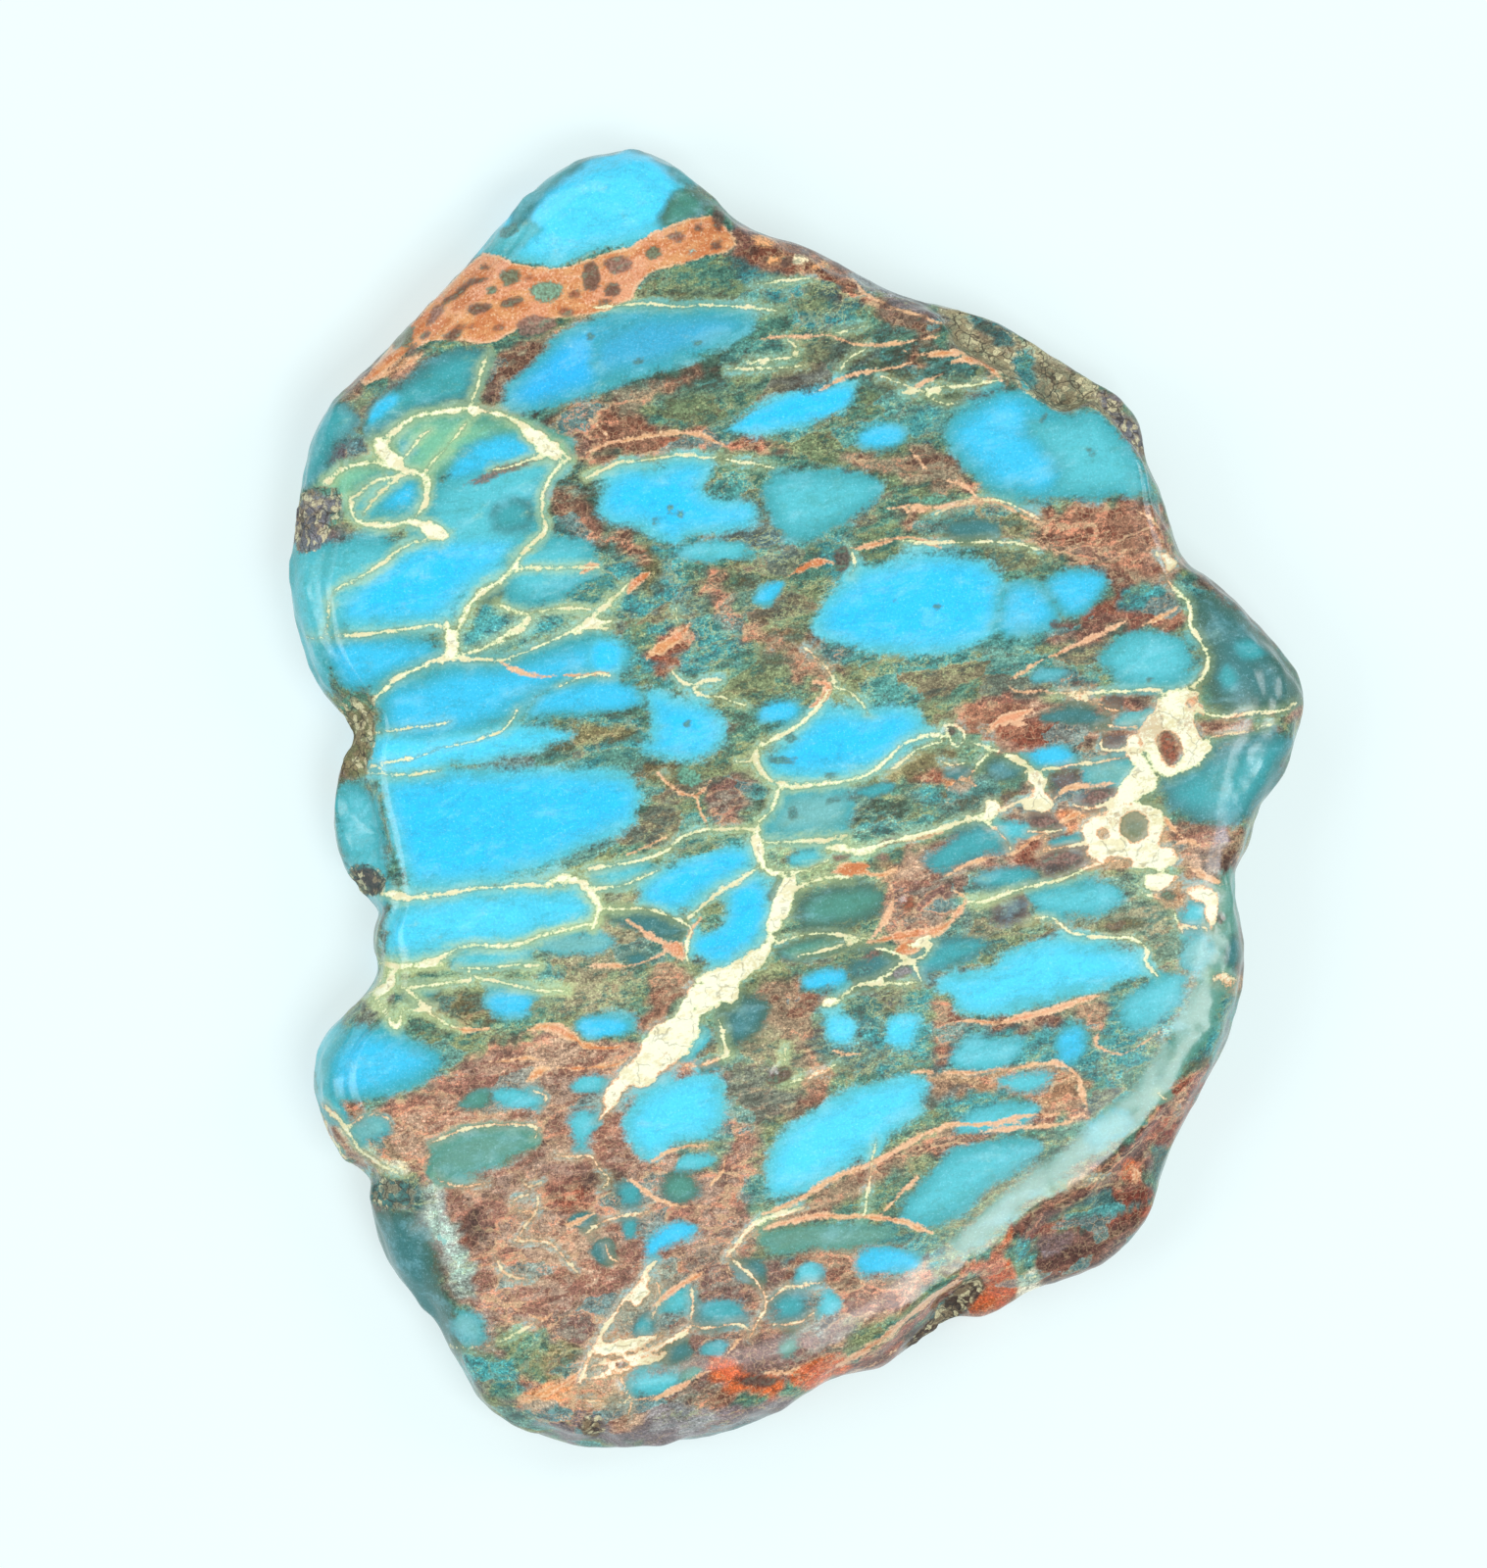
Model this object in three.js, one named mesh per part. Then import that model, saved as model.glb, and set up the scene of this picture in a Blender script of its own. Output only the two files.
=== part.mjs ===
// A freeform slab of turquoise: one natural stone with a flat base, a polished face and a lumpy edge.
// Millimetres, +Z up. The slab lies on its base at Z = 0, with its plan centred on the origin.

import * as THREE from 'three';

// Driving dimensions.
const slabLength = 80;        // longest way across, along Y
const slabThickness = 8;      // flat base to polished face
const stationCount = 216;     // places round the edge where the section is drawn
const leastRise = 0.06;       // the smallest climb from one ring of points to the next

// Plan of the slab at its widest, in millimetres, clockwise from the top lobe.
const outlinePlan = [
  [-10.3, 39.9], [-8.3, 39.4], [-6.7, 38.3], [-4.4, 36.1], [-2.4, 34.9], [0.6, 33.9], [3.5, 32.4],
  [6.3, 31], [10.3, 30], [12.5, 29.2], [14.8, 27.8], [17.2, 26.3], [19.5, 24.9], [21, 23.1],
  [21.5, 20.7], [22.4, 18.6], [23.8, 14.8], [25.6, 13.4], [27.5, 11.6], [29.5, 9.4], [30.8, 7.6],
  [31.1, 6.2], [30.6, 3.6], [29.4, 0.9], [28.4, -0.5], [27.9, -2.4], [26.8, -4.6], [26.9, -5.9],
  [27.4, -8.5], [27.3, -11.7], [26.3, -15], [24.8, -17.8], [23.6, -20.7], [22.4, -23.7], [21.3, -26.1],
  [19.3, -28.3], [17.1, -29.3], [14.6, -30.1], [11.6, -31.8], [9.4, -32.2], [7.8, -33.3], [5.4, -34.9],
  [2.5, -35.5], [0.1, -36.8], [-2.4, -38.2], [-5.1, -39.1], [-9.2, -39.6], [-12.5, -39.9],
  [-15.1, -39.3], [-17.4, -38.4], [-19.4, -36.9], [-21.1, -34.2], [-22.5, -31.6], [-24.9, -28.8],
  [-25.9, -26.6], [-26.4, -24.3], [-26.3, -23.1], [-27.6, -22.2], [-28.8, -20.5], [-29.6, -18.3],
  [-29.7, -16.8], [-29.2, -14.8], [-27.6, -13], [-26.2, -11.4], [-25.8, -10.5], [-26.1, -8.7],
  [-25.9, -6.9], [-26.6, -6.1], [-27.6, -4.9], [-28.3, -3], [-28.5, -0.9], [-28, 2.2], [-27.3, 3.7],
  [-27.6, 4.7], [-29.3, 6.9], [-30.3, 9.1], [-30.9, 11.4], [-31.1, 13.4], [-30.8, 16.5], [-30.4, 19.5],
  [-29.9, 21.9], [-28.8, 24.1], [-27.8, 25.1], [-22, 31], [-17.4, 36.1], [-15, 38.4], [-12.8, 39.5],
];

// Plan of the rim, where the polished face ends and the rounded side begins.
const rimPlan = [
  [-10.3, 38.6], [-8.2, 37.5], [-6.8, 36.2], [-4.8, 35], [-2.2, 34.2], [0.4, 33.2], [3.2, 31.5],
  [6.1, 30.2], [8.5, 29.6], [9.6, 27.9], [11.2, 26.8], [13.5, 25.8], [15.2, 24.2], [16.5, 23.8],
  [18, 24.3], [19.6, 22.7], [21, 20.9], [21.6, 18.2], [22.3, 16.2], [23, 13.8], [25.1, 12.2],
  [26.7, 10.2], [28.3, 8], [28.8, 5.7], [27.8, 3.3], [27, 0.9], [26.6, -1.5], [25.8, -4.5],
  [25.8, -8.1], [25.4, -11.7], [24.3, -14.7], [22.6, -18], [20.2, -20.7], [17.2, -23.1], [14.2, -25],
  [11.5, -27.4], [8.5, -29.7], [5.5, -31.8], [2.2, -33.8], [-0.8, -35.1], [-4.3, -36], [-8.5, -37],
  [-12.8, -37.5], [-15.4, -36.8], [-17.6, -35.4], [-19.1, -33.4], [-20.1, -31.2], [-21.3, -29.1],
  [-22.2, -26.4], [-22.6, -24], [-24.8, -21.9], [-26.8, -20.1], [-27.8, -17.7], [-27.6, -15.9],
  [-26.4, -14.1], [-24.9, -12.4], [-24.5, -10.2], [-24.8, -8.4], [-24.4, -6.3], [-24.6, -4.5],
  [-25, -2.1], [-25.6, 0.3], [-25.7, 2.7], [-25.5, 4.8], [-26.7, 6.6], [-28.1, 8.7], [-28.9, 11.1],
  [-29.2, 13.5], [-28.7, 16.2], [-28.2, 19.5], [-27.8, 21.9], [-26.7, 23.8], [-23.6, 27],
  [-18.4, 32.7], [-16.3, 35.4], [-13.9, 37.4], [-12, 38.4],
];

// Sections of the edge, by the direction they face, in degrees anticlockwise from +X.
// belly: height of the widest line, undercut: how far the base edge lies inside it,
// drop: how far the rim lies below the face, shoulder: width of the roll-off inside the rim,
// ledge: 0 for a rounded side, 1 for a side that steps down to a rough shelf.
const edgeSections = [
  { facing: -178, belly: 3.4, undercut: 1.2, drop: 0.4, shoulder: 0.8, ledge: 0.7 },  // lump on the left
  { facing: -165, belly: 4.4, undercut: 0.8, drop: 0.4, shoulder: 0.8, ledge: 0 },  // waist on the left
  { facing: -151, belly: 3.8, undercut: 1.4, drop: 0.5, shoulder: 1.2, ledge: 0 },  // lower left lobe
  { facing: -139, belly: 4.0, undercut: 0.8, drop: 0.5, shoulder: 1.0, ledge: 0 },  // fold under that lobe
  { facing: -128, belly: 3.0, undercut: 1.4, drop: 0.5, shoulder: 1.8, ledge: 0 },  // long slope, lower left
  { facing: -100, belly: 3.2, undercut: 1.6, drop: 0.6, shoulder: 1.6, ledge: 0 },  // foot of the slab
  { facing: -72, belly: 3.4, undercut: 1.2, drop: 0.6, shoulder: 2.2, ledge: 0.3 },  // crevice
  { facing: -50, belly: 3.0, undercut: 1.6, drop: 0.6, shoulder: 2.6, ledge: 0.45 },  // bulge, lower right
  { facing: -30, belly: 3.6, undercut: 1.4, drop: 0.5, shoulder: 2.2, ledge: 0.1 },
  { facing: -12, belly: 4.5, undercut: 1.0, drop: 0.4, shoulder: 1.0, ledge: 0 },  // waist on the right
  { facing: 11, belly: 4.2, undercut: 1.6, drop: 0.5, shoulder: 1.5, ledge: 0 },  // right lobe
  { facing: 36, belly: 4.6, undercut: 1.2, drop: 0.3, shoulder: 0.8, ledge: 0 },
  { facing: 46, belly: 4.2, undercut: 1.0, drop: 0.3, shoulder: 0.4, ledge: 0.8 },  // end of the rough shelf
  { facing: 58, belly: 3.8, undercut: 1.2, drop: 0.3, shoulder: 0.4, ledge: 1 },  // rough shelf
  { facing: 73, belly: 4.0, undercut: 0.9, drop: 0.3, shoulder: 0.4, ledge: 1 },
  { facing: 79, belly: 4.8, undercut: 0.8, drop: 0.3, shoulder: 0.5, ledge: 0 },
  { facing: 92, belly: 4.8, undercut: 0.8, drop: 0.3, shoulder: 0.6, ledge: 0 },  // neck of the top lobe
  { facing: 105, belly: 4.2, undercut: 1.6, drop: 0.4, shoulder: 1.0, ledge: 0 },  // top lobe
  { facing: 130, belly: 4.6, undercut: 1.2, drop: 0.3, shoulder: 0.7, ledge: 0 },
  { facing: 157, belly: 4.4, undercut: 1.4, drop: 0.4, shoulder: 1.0, ledge: 0 },  // left lobe
  { facing: 172, belly: 4.6, undercut: 0.8, drop: 0.3, shoulder: 0.6, ledge: 0.1 },  // waist above the lump
];

// Hollows worn or broken into the side: where each is, how wide and how deep.
const hollows = [
  { at: [7, -34.2, 4.8], radius: 1.5, depth: 1.1 },      // crevice below the rim, in three bites
  { at: [9.2, -32, 5], radius: 1.5, depth: 1.3 },
  { at: [11.3, -30.6, 5.2], radius: 1.3, depth: 0.9 },
  { at: [-26.6, -5.2, 4.6], radius: 1.4, depth: 1.2 },   // cavity below the lump
  { at: [-26.2, -2.6, 6.2], radius: 1.1, depth: 0.6 },   // crease behind the lump
  { at: [-12.4, -39, 5], radius: 1.1, depth: 1 },        // hole in the foot
  { at: [-26.8, 6, 5.6], radius: 1.1, depth: 0.6 },      // pit in the waist
  { at: [-24.8, -25, 3], radius: 1.6, depth: 0.5 },      // scoop in the lower left slope
  { at: [22.6, -22, 3.4], radius: 1.8, depth: 0.5 },     // saddle beside the bulge
];

// Fractions of the way from the widest line in to the rim, and of the climb, for each ring of the upper side.
const roundedSide = [[0.04, 0.27], [0.16, 0.52], [0.36, 0.74], [0.64, 0.9], [1, 1]];
const ledgedSide = [[0.06, 0.2], [0.3, 0.3], [0.62, 0.36], [0.86, 0.46], [1, 1]];

const lowerRings = [0, 0.4, 0.7, 1];   // from the base edge up to the widest line
const widestRing = lowerRings.length - 1;
const shoulderRings = [0.45, 1];       // from the rim in to where the face is flat

const stoneMaterial = new THREE.MeshStandardMaterial({ color: '#3fb3c4', roughness: 0.3, metalness: 0 });

const degrees = Math.PI / 180;

// A closed smooth curve through the plan's points.
function drawPlan(plan, scale) {
  const corners = plan.map(([x, y]) => new THREE.Vector3(x * scale, y * scale, 0));
  return new THREE.CatmullRomCurve3(corners, true, 'centripetal');
}

// How far the curve lies from the middle in each direction.
function makeReach(curve) {
  const marks = curve.getPoints(2400).map((p) => [Math.atan2(p.y, p.x), Math.hypot(p.x, p.y)]);
  marks.sort((a, b) => a[0] - b[0]);
  return (direction) => {
    let next = marks.findIndex(([angle]) => angle > direction);
    if (next < 1) next = marks.length - 1;
    const [a0, r0] = marks[next - 1];
    const [a1, r1] = marks[next];
    const part = a1 > a0 ? THREE.MathUtils.clamp((direction - a0) / (a1 - a0), 0, 1) : 0;
    return r0 + (r1 - r0) * part;
  };
}

// The edge section that faces a direction, blended from its two neighbours.
function sectionFacing(direction) {
  const turn = direction / degrees;
  const count = edgeSections.length;
  for (let i = 0; i < count; i += 1) {
    const from = edgeSections[i];
    const to = edgeSections[(i + 1) % count];
    const gap = THREE.MathUtils.euclideanModulo(to.facing - from.facing, 360);
    const along = THREE.MathUtils.euclideanModulo(turn - from.facing, 360);
    if (along <= gap) {
      const blend = THREE.MathUtils.smoothstep(along / gap, 0, 1);
      const mix = (key) => THREE.MathUtils.lerp(from[key], to[key], blend);
      return {
        belly: mix('belly'),
        undercut: mix('undercut'),
        drop: mix('drop'),
        shoulder: mix('shoulder'),
        ledge: mix('ledge'),
      };
    }
  }
  throw new Error('no section faces this direction');
}

// Low lumps of the natural edge, positive outwards.
function lumpHeight(x, y, z) {
  const broad = Math.sin(0.62 * x + 0.9 * z) * Math.sin(0.47 * y - 0.7 * z + 1);
  const middle = Math.sin(0.91 * x - 1.27 * y + 0.8 * z + 2) * Math.sin(1.13 * x + 0.38 * y - 1.9 * z);
  const small = Math.sin(2.3 * x + 1.7 * z + 0.5) * Math.sin(1.9 * y - 1.4 * z);
  return 0.2 * broad + 0.11 * middle + 0.06 * small;
}

function hollowDepth(x, y, z) {
  let depth = 0;
  for (const hollow of hollows) {
    const away = Math.hypot(x - hollow.at[0], y - hollow.at[1], z - hollow.at[2]) / hollow.radius;
    depth += hollow.depth * Math.exp(-away * away);
  }
  return depth;
}

// One section of the edge from the base up to the flat face: reach from the middle and height.
function drawSection(direction, outlineReach, rimReach) {
  const { belly, undercut, drop, shoulder, ledge } = sectionFacing(direction);
  const wide = outlineReach(direction);
  const rim = Math.min(rimReach(direction), wide - 0.4);
  const rimHeight = slabThickness - drop;
  const section = [];
  for (const part of lowerRings) {
    const turn = part * 90 * degrees;
    const reach = wide - undercut * (1 - Math.sin(turn));
    section.push({ reach, height: belly * (1 - Math.cos(turn)), outward: part, upward: 0 });
  }
  roundedSide.forEach(([roundIn, roundUp], i) => {
    const [ledgeIn, ledgeUp] = ledgedSide[i];
    const inward = THREE.MathUtils.lerp(roundIn, ledgeIn, ledge);
    const climb = THREE.MathUtils.lerp(roundUp, ledgeUp, ledge);
    const loose = i < roundedSide.length - 1 ? 1 : 0;
    const reach = wide + (rim - wide) * inward;
    const height = belly + (rimHeight - belly) * climb;
    section.push({ reach, height, outward: loose * (1 - ledge), upward: loose * ledge });
  });
  for (const part of shoulderRings) {
    const turn = part * 90 * degrees;
    const height = rimHeight + drop * Math.sin(turn);
    section.push({ reach: rim - shoulder * part, height, outward: 0, upward: 0 });
  }
  return section;
}

function buildSlab() {
  const planSpan = Math.max(...outlinePlan.map(([, y]) => y)) - Math.min(...outlinePlan.map(([, y]) => y));
  const outline = drawPlan(outlinePlan, slabLength / planSpan);
  const outlineReach = makeReach(outline);
  const rimReach = makeReach(drawPlan(rimPlan, slabLength / planSpan));
  const positions = [];
  const stations = outline.getSpacedPoints(stationCount).slice(0, stationCount).reverse();

  for (const station of stations) {
    const direction = Math.atan2(station.y, station.x);
    let lastHeight = -leastRise;
    drawSection(direction, outlineReach, rimReach).forEach(({ reach, height, outward, upward }, ring) => {
      const x = reach * Math.cos(direction);
      const y = reach * Math.sin(direction);
      const lump = ring === widestRing ? 0 : lumpHeight(x, y, height);
      const hollow = hollowDepth(x, y, height);
      const moved = reach + (lump - hollow) * outward;
      const climbed = Math.max(height + (2 * lump - hollow) * upward, lastHeight + leastRise);
      positions.push(moved * Math.cos(direction), moved * Math.sin(direction), climbed);
      lastHeight = climbed;
    });
  }

  const ringCount = positions.length / 3 / stationCount;
  const corner = (station, ring) => (station % stationCount) * ringCount + ring;
  const faces = [];
  for (let station = 0; station < stationCount; station += 1) {
    for (let ring = 0; ring < ringCount - 1; ring += 1) {
      const [a, b] = [corner(station, ring), corner(station + 1, ring)];
      const [c, d] = [corner(station + 1, ring + 1), corner(station, ring + 1)];
      faces.push(a, b, c, a, c, d);
    }
  }

  const ringPlan = (ring) => stations.map((_, i) => {
    const at = 3 * corner(i, ring);
    return new THREE.Vector2(positions[at], positions[at + 1]);
  });
  const top = ringCount - 1;
  for (const [a, b, c] of THREE.ShapeUtils.triangulateShape(ringPlan(top), [])) {
    faces.push(corner(a, top), corner(b, top), corner(c, top));
  }
  for (const [a, b, c] of THREE.ShapeUtils.triangulateShape(ringPlan(0), [])) {
    faces.push(corner(a, 0), corner(c, 0), corner(b, 0));
  }

  const shape = new THREE.BufferGeometry();
  shape.setAttribute('position', new THREE.Float32BufferAttribute(positions, 3));
  shape.setIndex(faces);
  // The slab's box is centred on the origin.
  shape.computeBoundingBox();
  const middle = shape.boundingBox.getCenter(new THREE.Vector3());
  shape.translate(-middle.x, -middle.y, 0);
  shape.computeVertexNormals();
  return shape;
}

const slab = new THREE.Mesh(buildSlab(), stoneMaterial);
slab.name = 'turquoise_slab';

const part = new THREE.Group();
part.add(slab);

export default part;
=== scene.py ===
import math

import bpy
import numpy as np
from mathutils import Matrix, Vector, kdtree, noise
from mathutils.geometry import delaunay_2d_cdt


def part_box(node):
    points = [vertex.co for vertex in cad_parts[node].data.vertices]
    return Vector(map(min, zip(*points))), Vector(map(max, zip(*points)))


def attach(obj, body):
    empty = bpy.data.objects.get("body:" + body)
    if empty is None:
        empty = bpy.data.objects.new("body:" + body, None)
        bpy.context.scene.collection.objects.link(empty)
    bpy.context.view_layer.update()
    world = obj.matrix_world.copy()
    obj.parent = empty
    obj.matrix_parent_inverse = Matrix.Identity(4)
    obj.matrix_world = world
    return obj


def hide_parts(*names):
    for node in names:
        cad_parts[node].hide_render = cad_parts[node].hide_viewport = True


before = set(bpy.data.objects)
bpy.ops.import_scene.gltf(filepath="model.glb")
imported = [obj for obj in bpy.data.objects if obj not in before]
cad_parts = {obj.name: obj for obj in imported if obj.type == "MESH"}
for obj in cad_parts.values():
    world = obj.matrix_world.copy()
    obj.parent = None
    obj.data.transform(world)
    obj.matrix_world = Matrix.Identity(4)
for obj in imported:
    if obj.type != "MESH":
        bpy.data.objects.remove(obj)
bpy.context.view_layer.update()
print("frame loaded")

millimetre = 0.001

# The chart gives places on the slab seen from above: x to the right and y down, in chart units.
chartMiddle = (812.5, 815.5)
chartLength = 1329.0  # from the top lobe to the foot
slabLow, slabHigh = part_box("turquoise_slab")
chartUnit = (slabHigh[1] - slabLow[1]) / chartLength
faceHeight = slabHigh[2]

# Tones of the stone: main colour, second colour of the mottling, share of the second one.
tones = {
    "sky": ((48, 208, 254), (84, 216, 248), 0.35),
    "blue": ((52, 190, 242), (64, 168, 196), 0.40),
    "deepSky": ((72, 178, 208), (66, 158, 176), 0.40),
    "skyPale": ((90, 224, 254), (76, 206, 240), 0.35),
    "turquoise": ((66, 203, 238), (90, 190, 198), 0.45),
    "turqTeal": ((102, 200, 204), (82, 170, 166), 0.45),
    "teal": ((74, 168, 168), (88, 138, 118), 0.45),
    "deepTeal": ((74, 126, 122), (80, 100, 88), 0.45),
    "green": ((92, 150, 128), (118, 136, 96), 0.48),
    "darkGreen": ((78, 104, 84), (74, 126, 116), 0.50),
    "olive": ((124, 124, 84), (88, 112, 92), 0.50),
    "paleGreen": ((140, 198, 156), (192, 212, 152), 0.45),
    "paleTeal": ((134, 190, 182), (110, 174, 172), 0.45),
    "mauve": ((128, 98, 88), (136, 132, 116), 0.48),
    "darkMauve": ((88, 68, 60), (112, 100, 84), 0.45),
    "rust": ((134, 92, 72), (150, 136, 108), 0.48),
    "redRust": ((138, 78, 56), (164, 116, 88), 0.45),
    "pinkRust": ((168, 120, 98), (188, 164, 136), 0.48),
    "lowRust": ((150, 110, 93), (164, 144, 124), 0.48),
    "sideRed": ((116, 60, 46), (150, 88, 64), 0.40),
    "sideBrown": ((92, 64, 56), (124, 92, 76), 0.40),
    "ember": ((216, 116, 62), (190, 92, 52), 0.50),
    "sage": ((118, 160, 138), (150, 150, 118), 0.48),
    "tan": ((192, 164, 122), (152, 116, 82), 0.45),
    "orange": ((230, 164, 108), (206, 136, 90), 0.40),
    "deepOrange": ((208, 124, 72), (226, 148, 96), 0.40),
    "peach": ((240, 222, 182), (214, 188, 146), 0.40),
    "cream": ((240, 242, 212), (226, 218, 174), 0.30),
    "veinEdge": ((214, 222, 166), (204, 194, 142), 0.40),
    "crust": ((196, 182, 142), (158, 138, 104), 0.45),
    "salmon": ((236, 166, 128), (176, 104, 64), 0.45),
    "beige": ((152, 146, 116), (118, 108, 86), 0.50),
    "greyMauve": ((136, 128, 132), (106, 98, 102), 0.45),
    "bark": ((74, 58, 48), (48, 42, 38), 0.50),
    # The next tone is a painted highlight: the pale strip of reflected light on the lower left shoulder.
    "paintedHighlight": ((176, 204, 190), (150, 188, 172), 0.45),
    "grey": ((176, 186, 186), (140, 140, 140), 0.45),
}

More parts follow.
